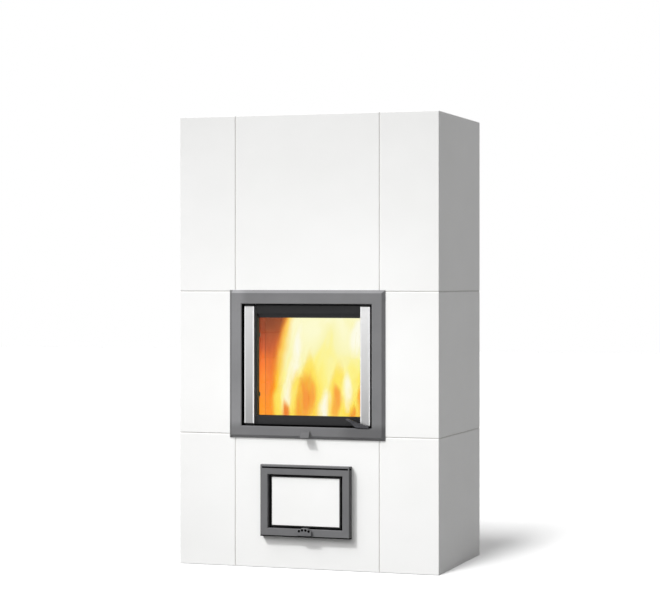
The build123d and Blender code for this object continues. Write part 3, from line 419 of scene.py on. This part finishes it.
def firebrick():
    """Red-brown chamotte with grog specks; its firebox faces carry painted firelight, dark red high up and
    orange low down.
    """
    finish = Finish("firebrick", (0.30, 0.12, 0.07), 0.9)
    cloud = finish.noise(9.0, detail=8.0, rough=0.7)
    body = finish.ramp(cloud, (0.30, (0.20, 0.075, 0.045)), (0.55, (0.30, 0.12, 0.07)),
                       (0.80, (0.38, 0.17, 0.10)))
    grog = finish.ramp(finish.cells(170.0), (0.10, (0.45, 0.30, 0.22)), (0.24, WHITE))
    finish.link(finish.blend(0.75, body, grog, "MULTIPLY"), "Base Color")
    depth, height = finish.part(finish.where, 1), finish.part(finish.where, 2)
    wander = finish.product(finish.math("SUBTRACT", finish.noise(7.0, detail=4.0), 0.5), FIRELIGHT_PAINT_WANDER)
    level = finish.product(finish.math("SUBTRACT", finish.math("ADD", height, wander), FIRELIGHT_PAINT_FOOT), FIRELIGHT_PAINT_RATE)
    finish.link(finish.ramp(level, *FIRELIGHT_PAINT), "Emission Color")
    # Painted firelight: extra on the front brick, more so high up, and less in the seam behind it, as painted
    # shade.
    front_piece = finish.inverse(finish.beyond(depth, FRONT_BRICK_END, 0.002))
    high_up = finish.math("ADD", 1.0, finish.beyond(height, FRONT_BRICK_FIRELIGHT_HIGH_FROM, 0.1))
    extra = finish.product(front_piece, high_up, FRONT_BRICK_EXTRA_FIRELIGHT)
    seam = finish.inverse(finish.beyond(finish.distance(1, FRONT_BRICK_END + 0.001), SEAM_HALF_WIDTH, 0.002))
    uneven = finish.math("SUBTRACT", finish.math("ADD", FIRELIGHT_PAINT_STRENGTH, extra),
                         finish.product(seam, SEAM_FIRELIGHT_LOSS))
    # The painted firelight lies only on the firebox faces, over the hearth and below the firebox's top.
    sideways = finish.math("ABSOLUTE", finish.part(finish.where, 0))
    behind_face = finish.beyond(sideways, FIREBOX_HALF_WIDTH + 0.004, 0.004)
    above = finish.beyond(height, FIREBOX_TOP, 0.01)
    over_hearth = finish.beyond(height, HEARTH_TOP - 0.02, 0.02)
    firelit = finish.product(finish.inverse(behind_face), finish.inverse(above), over_hearth)
    finish.link(finish.product(firelit, uneven), "Emission Strength")
    finish.relief(finish.noise(42.0, detail=8.0, rough=0.7), 0.0016)
    return finish.relief(finish.noise(420.0, detail=2.0), 0.0004)


def fibre_board(name, colour):
    finish = Finish(name, colour, 0.95)
    strands = finish.noise(130.0, detail=6.0, rough=0.7, stretch=(1.0, 1.0, 0.35))
    dark = tuple(value * 0.82 for value in colour)
    finish.link(finish.ramp(strands, (0.3, dark), (0.7, colour)), "Base Color")
    return finish.relief(strands, 0.0008)


def coated_steel(name, dark, light, roughness):
    """Sprayed heat-proof paint: fine orange peel and slightly cloudy gloss."""
    finish = Finish(name, light, roughness)
    cloud = finish.noise(7.0, detail=5.0, rough=0.6)
    finish.link(finish.ramp(cloud, (0.30, dark), (0.72, light)), "Base Color")
    finish.link(finish.ramp(cloud, (0.25, roughness - 0.06), (0.75, roughness + 0.08)), "Roughness")
    finish.relief(finish.noise(650.0, detail=2.0), 0.00010)
    return finish.relief(finish.noise(90.0, detail=2.0), 0.00018)


def bare_steel(name, dark, light, roughness):
    """Sheet steel with rolling lines along Z and darker oil or heat patches."""
    finish = Finish(name, light, roughness, 1.0)
    lines = finish.noise(500.0, detail=3.0, stretch=(1.0, 1.0, 0.06))
    patch = finish.noise(11.0, detail=6.0, rough=0.65)
    finish.link(finish.ramp(patch, (0.30, dark), (0.70, light)), "Base Color")
    finish.link(finish.ramp(lines, (0.3, roughness - 0.08), (0.7, roughness + 0.10)), "Roughness")
    return finish.relief(lines, 0.00008)


def brushed_bar(name, painted_lightness):
    """Aluminium bar, brushed along its length; a painted reflection makes it duller towards its lower end,
    and a painted highlight runs along its arrises.
    """
    finish = Finish(name, (0.6, 0.6, 0.61), 0.34, 1.0)
    lines = finish.noise(1500.0, detail=4.0, stretch=(1.0, 1.0, 0.012))
    height = finish.part(finish.where, 2)
    # Painted reflection: the colour falls towards the bar's lower end.
    painted_reflection_height = finish.math("ADD", height, finish.product(finish.noise(12.0, detail=4.0), 0.03))
    reflection_levels = ((0.515, 0.34), (0.575, 0.39), (0.645, 0.46), (0.745, 0.53), (0.860, 0.62))
    tone = finish.ramp(painted_reflection_height, *[(place, (value * painted_lightness,) * 3) for place, value in reflection_levels])
    # Painted highlight in a band along both arrises.
    low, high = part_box(name)
    from_middle = finish.distance(0, (low[0] + high[0]) / 2)
    painted_arris_highlight = finish.beyond(from_middle, (high[0] - low[0]) / 2 - BAR_HIGHLIGHT_WIDTH, 0.001)
    bright = finish.blend(finish.product(painted_arris_highlight, 0.9), tone, (0.96, 0.96, 0.965))
    streak = finish.ramp(lines, (0.3, 0.93), (0.7, 1.0))
    finish.link(finish.blend(1.0, bright, streak, "MULTIPLY"), "Base Color")
    finish.link(finish.ramp(lines, (0.3, 0.28), (0.7, 0.42)), "Roughness")
    return finish.relief(lines, 0.00006)


def cast_iron(name, dark, light):
    finish = Finish(name, light, 0.55, 0.6)
    skin = finish.noise(330.0, detail=5.0, rough=0.65)
    finish.link(finish.ramp(finish.noise(24.0, detail=6.0), (0.3, dark), (0.7, light)), "Base Color")
    return finish.relief(skin, 0.0003)


def widened(box, gaps):
    """Opening round a door leaf's box: (x low, x high, z low, z high), with (sideways, upright) gaps."""
    low, high = box
    return low[0] - gaps[0], high[0] + gaps[0], low[2] - gaps[1], high[2] + gaps[1]


def firebox_frame_paint():
    """Grey paint with painted light: lighter on the top bevel and left stile; painted shade on the left
    bevel, the lower rail and inside the opening.
    """
    finish = coated_steel("frame_grey", (0.155, 0.155, 0.16), (0.19, 0.19, 0.195), 0.5)
    (left, front, _), (_, _, top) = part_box("firebox_frame")
    # Painted shade on the left bevel, painted highlight on the top bevel.
    finish.tint(finish.band(0, left - PAST_EDGE, left + FRAME_BEVEL), 0.55)
    finish.tint(finish.band(2, top - FRAME_BEVEL, top + PAST_EDGE), 1.32)
    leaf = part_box("firebox_door_leaf")
    # Painted light on the left stile; painted shade on the lower rail, deeper towards its right end.
    x, z = finish.part(finish.where, 0), finish.part(finish.where, 2)
    stile = finish.inverse(finish.beyond(x, leaf[0][0], 0.03))
    rail = finish.inverse(finish.beyond(z, leaf[0][2], 0.03))
    finish.tint(finish.product(stile, finish.inverse(rail)), 1.24)
    finish.tint(rail, 0.86)
    finish.tint(finish.product(rail, finish.beyond(x, leaf[1][0] - 0.09, 0.06)), 0.70)
    # Painted shade on the faces inside the door's opening.
    return finish.paint_shade(finish.round_opening(widened(leaf, DOOR_GAP), front + 0.003), 0.95)


def ash_frame_paint():
    """Darker grey paint; painted shade lies in the head's groove, along the lower and side edges and inside
    the opening.
    """
    finish = coated_steel("ash_frame_grey", (0.125, 0.125, 0.129), (0.152, 0.152, 0.157), 0.5)
    (left, front, bottom), (right, _, top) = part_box("ash_frame")
    # Painted shade down the right and left edges, along the lower edge and in the head's groove.
    finish.tint(finish.band(0, right - ASH_FRAME_EDGE_SHADE, right + PAST_EDGE), 0.32)
    finish.tint(finish.band(0, left - PAST_EDGE, left + ASH_FRAME_EDGE_SHADE), 0.70)
    lower_edge_shade = finish.band(2, bottom - PAST_EDGE, bottom + ASH_FRAME_LOWER_SHADE)
    groove = finish.product(finish.band(2, top - ASH_GROOVE[1], top - ASH_GROOVE[0]),
                            finish.beyond(finish.part(finish.where, 1), front + 0.0012, 0.0004))
    # Painted shade inside the opening, but not on the lit strip of the left jamb.
    opening = widened(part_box("ash_door_tile"), ASH_DOOR_GAP)
    lit_jamb = finish.product(finish.band(0, opening[0] - 0.001, opening[0] + 0.001), 0.75)
    inside = finish.math("SUBTRACT", finish.round_opening(opening, front + 0.009), lit_jamb, clamp=True)
    return finish.paint_shade(finish.math("MAXIMUM", inside, finish.math("MAXIMUM", lower_edge_shade, groove)), 0.96)


def finger_piece():
    """Painted casting in the ash frame's grey, with painted shade black inside its four finger pockets."""
    finish = coated_steel("finger_piece_grey", (0.105, 0.105, 0.109), (0.150, 0.150, 0.155), 0.45)
    outwards = finish.math("ABSOLUTE", finish.part(finish.where, 0))
    upwards = finish.part(finish.where, 2)
    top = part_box("ash_latch")[0][2] + FINGER_PIECE_HEIGHT
    from_pockets = None
    for place, drop, radius in FINGER_POCKETS:
        across = finish.math("POWER", finish.math("SUBTRACT", outwards, place), 2.0)
        along = finish.math("POWER", finish.math("SUBTRACT", upwards, top - drop), 2.0)
        gap = finish.math("SUBTRACT", finish.math("SQRT", finish.math("ADD", across, along)), radius)
        from_pockets = gap if from_pockets is None else finish.math("MINIMUM", from_pockets, gap)
    finish.relief(finish.noise(330.0, detail=5.0, rough=0.65), 0.0002)
    # Painted shade inside the finger pockets.
    return finish.paint_shade(finish.inverse(finish.beyond(from_pockets, 0.0002, 0.0003)), 0.96)


def clear_pane():
    """Glass ceramic with a breath of soot haze in cloudy patches."""
    finish = Finish("clear_pane", (0.985, 0.985, 0.98), 0.0)
    finish.set("Transmission Weight", 1.0).set("IOR", 1.15)
    haze = finish.noise(16.0, detail=5.0, stretch=(1.0, 1.0, 0.5))
    return finish.link(finish.ramp(haze, (0.45, 0.0), (0.85, 0.035)), "Roughness")


def rope():
    """Woven seal rope: slanting strands in two directions."""
    finish = Finish("seal_rope", (0.17, 0.16, 0.15), 0.95)
    strands = []
    for side in (1.0, -1.0):
        lean = (0.6 * side, 0.75 * side, 0.78 * side)
        turned = finish.add("ShaderNodeMapping", Vector=finish.where, Rotation=lean)
        wave = finish.add("ShaderNodeTexWave", Vector=turned.outputs[0], Scale=130.0, Distortion=1.5,
                          Detail=2.0)
        strands.append(wave.outputs[1])
    weave = finish.math("MAXIMUM", strands[0], strands[1])
    finish.link(finish.ramp(weave, (0.35, (0.055, 0.052, 0.05)), (0.85, (0.24, 0.23, 0.21))), "Base Color")
    return finish.relief(weave, 0.0009)


def dress_nodes():
    courses = [f"{course}_{side}_corner_tile" for course in ("lower", "middle", "upper")
               for side in ("left", "right")]
    glazed_tile().put_on(*courses, "back_tiles", "lower_front_tile", "upper_front_tile", "ash_door_tile")
    mortar().put_on("tile_joints")
    concrete("core_concrete", (0.34, 0.325, 0.30), (0.47, 0.45, 0.42)).put_on(
        "top_slab", "base_slab", "channel_slabs", "front_piers", "ash_chamber_blocks", "back_core_slab",
        "sill_block", "front_core_beams", "core_roof_slab")
    firebrick().put_on("firebox_side_bricks", "firebox_back_bricks", "firebox_lintel_brick", "hearth_slab",
                       "throat_slab", "chamber_walls")
    fibre_board("mineral_board", (0.70, 0.69, 0.65)).put_on("insulation_boards")
    fibre_board("ceramic_fibre", (0.82, 0.81, 0.78)).put_on("casing_insulation")
    firebox_frame_paint().put_on("firebox_frame")
    ash_frame_paint().put_on("ash_frame")
    coated_steel("door_black", (0.005, 0.005, 0.006), (0.010, 0.010, 0.011), 0.6).put_on(
        "firebox_door_leaf", "air_wash_strip")
    coated_steel("casing_black", (0.006, 0.006, 0.006), (0.012, 0.012, 0.012), 0.8).put_on(
        "firebox_casing", "firebox_latch_keeper", "ash_door_tray", "ash_casing", "firebox_hinge_pins",
        "ash_hinge_pins")
    bare_steel("sheet_steel", (0.10, 0.10, 0.105), (0.20, 0.20, 0.205), 0.42).put_on(
        "air_slide_guides", "ash_pan_runners", "ash_latch_guide", "glass_clips", "lintel_angle",
        "flue_collar")
    bare_steel("zinc_plate", (0.38, 0.38, 0.37), (0.56, 0.56, 0.55), 0.30).put_on(
        "frame_screws", "door_screws", "ash_door_screws", "ash_frame_anchors", "ash_pan")
    # Each bar gets its own painted lightness; the right one is painted lighter.
    for bar, painted_lightness in (("left_door_bar", 1.14), ("right_door_bar", 1.32)):
        brushed_bar(bar, painted_lightness).put_on(bar)
    bare_steel("burnished", (0.055, 0.055, 0.06), (0.11, 0.11, 0.12), 0.30).put_on(
        "firebox_latch_lever", "firebox_latch_spindle")
    coated_steel("tab_grey", (0.100, 0.100, 0.103), (0.128, 0.128, 0.131), 0.5).put_on("air_slide")
    clear_pane().put_on("firebox_glass")
    rope().put_on("firebox_door_seal", "ash_door_seal", "glass_gasket")
    cast_iron("grate_iron", (0.035, 0.033, 0.032), (0.075, 0.07, 0.068)).put_on("fire_grate")
    finger_piece().put_on("ash_latch")


# ------------------------------------------------------------------ mesh helpers
def new_piece(name, points, faces, body="root", smooth=True):
    mesh = bpy.data.meshes.new(name)
    mesh.from_pydata([tuple(point) for point in points], [], faces)
    mesh.validate()
    mesh.update()
    if smooth:
        mesh.shade_smooth()
    else:
        mesh.shade_flat()
    thing = bpy.data.objects.new(name, mesh)
    scene.collection.objects.link(thing)
    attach(thing, body)
    return thing


def loft(rings):
    """Points and faces of a skin through rings of equal length, closed round and at both ends."""
    count = len(rings[0])
    points = [point for ring in rings for point in ring]
    faces = [(row * count + i, row * count + (i + 1) % count,
              (row + 1) * count + (i + 1) % count, (row + 1) * count + i)
             for row in range(len(rings) - 1) for i in range(count)]
    for row, flip in ((0, True), (len(rings) - 1, False)):
        centre = sum((Vector(point) for point in rings[row]), Vector()) / count
        points.append(centre)
        hub = len(points) - 1
        for i in range(count):
            face = (row * count + i, row * count + (i + 1) % count, hub)
            faces.append(face[::-1] if flip else face)
    return points, faces


# ------------------------------------------------------------------ the fire
FIRE_CENTRE = Vector((0.0, -0.010, HEARTH_TOP))
# The wide flames are yellow about this high over the floor and go paler at this rate per metre.
FLAME_YELLOW_HEIGHT = 0.605
FLAME_PALING = 2.2
# Two corners of the twenty-sided solid share an edge when they lie nearer than this.
EDGE_LIMIT = 1.06
EMBER_THROWS = 420
EMBER_SPREAD = (0.085, 0.055)
EMBER_LIMIT = (0.175, 0.105)
EMBER_SIZE = (0.006, 0.017)
EMBER_HEAP_SPREAD = (0.12, 0.08)
EMBER_HEAP_HEIGHT = 0.040
# How wide a log still is at its end and at each of the three rings past it.
LOG_TAPER = (1.0, 0.86, 0.55, 0.2)
FIRELIGHT = (1.0, 0.30, 0.09)
FIRE_LAMP_RADIUS = 0.05


def charred_wood():
    finish = Finish("charred_wood", (0.02, 0.018, 0.016), 0.85)
    blocks = finish.cells(75.0, "DISTANCE_TO_EDGE", stretch=(0.45, 1.0, 1.0))
    body = finish.ramp(finish.noise(30.0, detail=7.0, rough=0.7), (0.35, (0.012, 0.010, 0.009)),
                       (0.60, (0.05, 0.042, 0.036)), (0.78, (0.34, 0.32, 0.30)))
    finish.link(body, "Base Color")
    crack = finish.ramp(blocks, (0.02, 1.0), (0.10, 0.0))
    heat = finish.ramp(finish.noise(13.0, detail=3.0), (0.40, 0.0), (0.62, 1.0))
    finish.link(finish.ramp(heat, (0.2, (0.55, 0.03, 0.004)), (0.9, (1.0, 0.32, 0.05))), "Emission Color")
    finish.link(finish.product(crack, heat, 3.0), "Emission Strength")
    return finish.relief(finish.ramp(blocks, (0.0, 0.0), (0.22, 1.0)), 0.004)


def ember_glow():
    finish = Finish("embers", (0.03, 0.025, 0.022), 0.9)
    heat = finish.noise(38.0, detail=5.0, rough=0.6)
    ash = finish.noise(120.0, detail=4.0)
    finish.link(finish.ramp(ash, (0.4, (0.03, 0.026, 0.024)), (0.75, (0.42, 0.40, 0.38))), "Base Color")
    glow = finish.ramp(heat, (0.38, (0.45, 0.02, 0.0)), (0.55, (1.0, 0.20, 0.02)), (0.72, (1.0, 0.62, 0.18)))
    finish.link(glow, "Emission Color")
    finish.link(finish.ramp(heat, (0.40, 0.0), (0.62, 1.0)), "Emission Strength")
    return finish.relief(finish.noise(160.0, detail=4.0), 0.0015)


def flame_colour(finish):
    """Colour of the wide flames, so that they merge: pale high up, yellow low down, in slow streaks."""
    streak = finish.noise(10.0, detail=2.5, stretch=(1.0, 1.0, 0.18), twist=0.6)
    height = finish.math("SUBTRACT", finish.part(finish.where, 2), FLAME_YELLOW_HEIGHT)
    streak = finish.product(finish.math("SUBTRACT", streak, 0.12), 1.1)
    level = finish.math("ADD", finish.product(height, FLAME_PALING), streak)
    return finish.ramp(level, (0.05, (1.0, 0.60, 0.07)), (0.24, (1.0, 0.79, 0.11)),
                       (0.42, (1.0, 0.91, 0.27)), (0.60, (0.97, 0.93, 0.47)), (0.95, (1.0, 0.98, 0.64)))


def flame_base(name):
    """Material that only glows, and the two flame coordinates: across (0 middle, 1 edge) and up."""
    finish = Finish(name, (0.0, 0.0, 0.0), 1.0)
    finish.set("Specular IOR Level", 0.0).set("Emission Strength", 1.0)
    place = finish.add("ShaderNodeAttribute")
    place.attribute_name = "flame_place"
    across = finish.math("ABSOLUTE", finish.part(place.outputs["Vector"], 0))
    return finish, across, finish.part(place.outputs["Vector"], 1)


def flame_sheet_light():
    """Wide flame, amber and then orange in its outer band, where it fades out."""
    finish, across, up = flame_base("flame_sheet")
    wisp = finish.noise(16.0, detail=2.0, stretch=(1.0, 1.0, 0.2), twist=0.4)
    edge = finish.math("MAXIMUM", across, finish.math("POWER", up, 8.0))
    edge = finish.math("ADD", edge, finish.product(finish.math("SUBTRACT", wisp, 0.5), 0.12))
    tint = finish.ramp(edge, (0.74, WHITE), (0.84, (1.0, 0.70, 0.22)), (0.94, (0.95, 0.30, 0.05)))
    finish.link(finish.blend(1.0, flame_colour(finish), tint, "MULTIPLY"), "Emission Color")
    return finish.link(finish.inverse(finish.beyond(edge, 0.93, 0.14)), "Alpha")


def flame_tongue_light(name, core, rim, strength):
    """Short flame seen against the wide ones: its colours and its opacity fall off softly all round."""
    finish, across, up = flame_base(name)
    past_middle = finish.math("SUBTRACT", finish.product(up, 2.0), 1.0)
    from_middle = finish.math("MAXIMUM", past_middle, finish.product(past_middle, -0.6))
    reach = finish.math("ADD", finish.math("POWER", across, 2.0), finish.math("POWER", from_middle, 2.0))
    wisp = finish.noise(26.0, detail=3.0, stretch=(1.0, 1.0, 0.30), twist=0.5)
    reach = finish.math("ADD", reach, finish.product(finish.math("SUBTRACT", wisp, 0.5), 1.6))
    finish.link(finish.ramp(reach, (0.0, core), (0.60, rim)), "Emission Color")
    fades = [finish.inverse(finish.beyond(value, limit, soft)) for value, limit, soft in
             ((reach, 0.42, 1.0), (across, 0.60, 0.78), (from_middle, 0.60, 0.78))]
    return finish.link(finish.product(*fades, strength), "Alpha")


def flame_skin(name, rows, columns, spot, finish):
    """Open ribbon of flame; spot(up, across) gives its points for up 0..1 and across -1..1."""
    points, places = [], []
    for row in range(rows + 1):
        for column in range(columns + 1):
            up, across = row / rows, column / columns * 2 - 1
            points.append(spot(up, across))
            places.append((across, up, 0.0))
    faces = [(row * (columns + 1) + column, row * (columns + 1) + column + 1,
              (row + 1) * (columns + 1) + column + 1, (row + 1) * (columns + 1) + column)
             for row in range(rows) for column in range(columns)]
    thing = new_piece(name, points, faces)
    attribute = thing.data.attributes.new("flame_place", "FLOAT_VECTOR", "POINT")
    for item, place in zip(attribute.data, places):
        item.vector = place
    paint(thing, finish)


def flame_sheet(name, path, phase, finish):
    """Wide wavy sheet through (height over the hearth, depth, half width) stations, up into the throat."""
    def station(up):
        place = up * (len(path) - 1)
        index = min(int(place), len(path) - 2)
        t = place - index
        return [a + (b - a) * t for a, b in zip(path[index], path[index + 1])]

    def spot(up, across):
        height, depth, half = station(up)
        long_wave = 0.007 * math.sin(5.0 * across + phase + 7.0 * up)
        short_wave = 0.004 * math.sin(13.0 * across - 4.0 * up + phase)
        return across * half, depth + long_wave + short_wave, HEARTH_TOP + height

    flame_skin(name, 66, 48, spot, finish)


def flame(name, finish, foot, height, width, sway, angles, seed):
    """Ribbons that cross on one axis over a foot (z over the hearth), each bellied and narrowing to a tip."""
    foot = Vector(foot) + Vector((0, 0, HEARTH_TOP))
    chance = random.Random(seed)
    for index, angle in enumerate(angles):
        turn = Matrix.Rotation(math.radians(angle), 3, "Z")
        phase = chance.uniform(0, math.tau)

        def spot(up, across):
            half = width / 2 * (0.62 + 1.1 * up - 1.25 * up * up) * (1 - up ** 5)
            swing = Vector((math.sin(phase + 5.0 * up), math.cos(phase + 4.1 * up), 0)) * width * 0.10 * up
            belly = (1 - across * across) * half * 0.28
            bent = Vector((*sway, 0)) * up ** 1.4 + swing + turn @ Vector((across * half, belly, 0))
            return foot + bent + Vector((0, 0, height * up))

        flame_skin(f"{name}_{index + 1}", 22, 8, spot, finish)


def log(name, start, end, radius, seed, finish):
    """Split log between two points (z over the hearth): rough, slightly bent and flattened, ragged ends."""
    start, end = (Vector(place) + Vector((0, 0, HEARTH_TOP)) for place in (start, end))
    along = (end - start).normalized()
    side = along.cross(Vector((0, 0, 1))).normalized()
    up = side.cross(along)
    rows, count = 30, 40
    shift = Vector((seed * 7.3, seed * 3.1, seed * 1.7))
    rings = []
    for row in range(-3, rows + 4):
        past_end = max(0, -row, row - rows)
        t = min(max(row / rows, 0), 1)
        centre = start.lerp(end, t) + up * math.sin(math.pi * t) * radius * 0.16
        ring = []
        for i in range(count):
            angle = math.tau * i / count
            spot = Vector((math.cos(angle), math.sin(angle), t * 5.0)) + shift
            wide = 1 + 0.16 * noise.noise(spot * 0.9) + 0.07 * noise.noise(spot * 4.0)
            ridge_spot = Vector((math.cos(angle) * 6, math.sin(angle) * 6, t * 2.0)) + shift
            ridge = 0.05 * abs(noise.noise(ridge_spot))
            out = radius * (wide - ridge) * LOG_TAPER[past_end]
            end_relief = 0.05 * radius * noise.noise(spot * 3.0) if past_end else 0.0
            outwards = 0.04 * radius * past_end * (1 if row > rows else -1)
            lean = along * (end_relief + outwards)
            ring.append(centre + side * math.cos(angle) * out + up * math.sin(angle) * out * 0.88 + lean)
        rings.append(ring)
    paint(new_piece(name, *loft(rings)), finish)


def twenty_faces():
    """Corners and outward faces of a regular solid of twenty triangles, of radius 1."""
    golden = 1.618
    corners = [Vector(corner).normalized() for corner in
               ((0, 1, golden), (0, -1, golden), (0, 1, -golden), (0, -1, -golden),
                (1, golden, 0), (-1, golden, 0), (1, -golden, 0), (-1, -golden, 0),
                (golden, 0, 1), (-golden, 0, 1), (golden, 0, -1), (-golden, 0, -1))]
    faces = []
    for i, j, k in itertools.combinations(range(12), 3):
        a, b, c = corners[i], corners[j], corners[k]
        if max((a - b).length, (b - c).length, (a - c).length) < EDGE_LIMIT:
            faces.append((i, j, k) if (b - a).cross(c - a).dot(a) > 0 else (k, j, i))
    return corners, faces


def ember_bed(name, finish):
    """Heap of broken charcoal on the hearth and the grate."""
    chance = random.Random(7)
    ball, skin = twenty_faces()
    points, faces = [], []
    for _ in range(EMBER_THROWS):
        x, y = chance.gauss(0, EMBER_SPREAD[0]), chance.gauss(0, EMBER_SPREAD[1])
        if abs(x) > EMBER_LIMIT[0] or abs(y) > EMBER_LIMIT[1]:
            continue
        size = chance.uniform(*EMBER_SIZE)
        fall = (x / EMBER_HEAP_SPREAD[0]) ** 2 + (y / EMBER_HEAP_SPREAD[1]) ** 2
        heap = EMBER_HEAP_HEIGHT * math.exp(-fall)
        centre = FIRE_CENTRE + Vector((x, y, size + chance.uniform(0, 1) * heap))
        turn = Matrix.Rotation(chance.uniform(0, math.tau), 3, (chance.random(), chance.random(), 1))
        form = Vector((chance.uniform(0.7, 1.5), chance.uniform(0.7, 1.1), chance.uniform(0.5, 0.9)))
        first = len(points)
        for corner in ball:
            rough = chance.uniform(0.82, 1.12)
            points.append(centre + turn @ (corner * form) * size * rough)
        faces += [tuple(first + i for i in face) for face in skin]
    paint(new_piece(name, points, faces, smooth=False), finish)


# In the tables of the sheets, logs and flames every height counts from the hearth's top.
THROAT = 0.420
FRONT_SHEET = (
    (0.004, -0.104, 0.160), (0.060, -0.104, 0.188), (0.120, -0.098, 0.195), (0.180, -0.076, 0.196),
    (0.240, -0.054, 0.196), (0.300, -0.024, 0.196), (0.360, 0.012, 0.196), (THROAT - 0.010, 0.060, 0.194),
    (THROAT + 0.040, 0.074, 0.185), (THROAT + 0.100, 0.078, 0.140), (THROAT + 0.170, 0.080, 0.060))
BACK_SHEET = (
    (0.004, 0.020, 0.150), (0.100, 0.030, 0.185), (0.200, 0.045, 0.194), (0.300, 0.066, 0.195),
    (THROAT - 0.010, 0.090, 0.194), (THROAT + 0.060, 0.095, 0.180), (THROAT + 0.150, 0.095, 0.070))
# Name, start, end, radius and seed.
LOGS = (
    ("fire_log_front", (-0.150, -0.048, 0.030), (0.135, -0.040, 0.032), 0.028, 1),
    ("fire_log_back", (-0.140, 0.040, 0.034), (0.155, 0.036, 0.032), 0.031, 2),
    ("fire_log_left", (-0.090, -0.055, 0.072), (-0.020, 0.060, 0.086), 0.023, 3),
    ("fire_log_right", (0.110, -0.050, 0.070), (0.030, 0.060, 0.088), 0.024, 4))
# The angles of a flame's ribbons in degrees.
TWO_RIBBONS = (2, 36)
ONE_RIBBON = (2,)
TURNED_RIBBON = (12,)
# Name, colour of the core, colour of the rim and strength.
TONGUES = (
    ("deep", (0.86, 0.22, 0.03), (1.0, 0.55, 0.05), 1.0),
    ("orange", (0.95, 0.34, 0.05), (1.0, 0.62, 0.07), 0.9),
    ("yellow", (1.0, 0.80, 0.12), (1.0, 0.70, 0.08), 0.8),
    ("pale", (1.0, 0.99, 0.86), (1.0, 0.95, 0.55), 0.9))
# X, height and width.
LOW_FLAMES = (
    (-0.140, 0.19, 0.11), (-0.085, 0.24, 0.11), (-0.040, 0.30, 0.10),
    (0.050, 0.27, 0.10), (0.085, 0.16, 0.09), (0.140, 0.20, 0.09))
# Name, colour, foot, height, width, sway, ribbons and seed.
FLAMES = (
    ("flame_streak", "pale", (-0.128, -0.130, 0.045), 0.385, 0.095, (0.056, 0.085), TURNED_RIBBON, 20),
    ("flame_streak_middle", "pale", (0.012, -0.132, 0.005), 0.180, 0.085, (0.0, 0.01), TURNED_RIBBON, 27),
    ("flame_streak_top", "pale", (0.120, -0.095, 0.250), 0.200, 0.110, (0.0, 0.09), TURNED_RIBBON, 29),
    ("flame_streak_right", "pale", (0.100, -0.132, 0.070), 0.170, 0.060, (0.0, 0.01), TURNED_RIBBON, 28),
    ("flame_tongue_left", "deep", (-0.066, -0.140, 0.010), 0.250, 0.105, (0.032, 0.01), TWO_RIBBONS, 21),
    ("flame_tongue_inner", "orange", (-0.036, -0.140, 0.050), 0.170, 0.100, (0.0, 0.01), TWO_RIBBONS, 26),
    ("flame_tongue_right", "orange", (0.061, -0.156, 0.040), 0.165, 0.085, (0.0, 0.01), ONE_RIBBON, 22),
    ("flame_tongue_edge", "deep", (-0.115, -0.156, 0.006), 0.130, 0.055, (0.0, 0.01), ONE_RIBBON, 23),
    ("flame_tongue_low", "deep", (0.118, -0.140, 0.015), 0.105, 0.045, (0.0, 0.01), TWO_RIBBONS, 24),
    ("flame_tongue_end", "orange", (0.142, -0.140, 0.010), 0.180, 0.045, (0.002, 0.01), TWO_RIBBONS, 25))
# Name, place in the model's frame and power.
FIRE_LAMPS = (("fire_low", (-0.02, -0.13, 0.54), 0.6), ("fire_high", (0.0, -0.12, 0.74), 0.15))


def make_fire():
    wood = charred_wood()
    for name, first, last, radius, seed in LOGS:
        log(name, first, last, radius, seed, wood)
    ember_bed("fire_embers", ember_glow())

    sheet = flame_sheet_light()
    flame_sheet("flame_front_sheet", FRONT_SHEET, 0.4, sheet)
    flame_sheet("flame_back_sheet", BACK_SHEET, 2.1, sheet)
    lights = {colour: flame_tongue_light(f"flame_{colour}", core, rim, strength)
              for colour, core, rim, strength in TONGUES}
    for index, (x, height, width) in enumerate(LOW_FLAMES):
        flame(f"flame_low_{index + 1}", lights["yellow"], (x, -0.122, 0.010), height, width, (0.0, 0.03),
              TWO_RIBBONS, 30 + index)
    for name, colour, *form in FLAMES:
        flame(name, lights[colour], *form)

    for name, place, energy in FIRE_LAMPS:
        lamp = add_light(name, "POINT", place, (0, 0, 0), energy, FIRELIGHT)
        lamp.data.shadow_soft_size = FIRE_LAMP_RADIUS


# ------------------------------------------------------------------ put together
make_camera()
make_light(make_floor())
dress_nodes()
make_fire()

scene.view_settings.view_transform = "Standard"
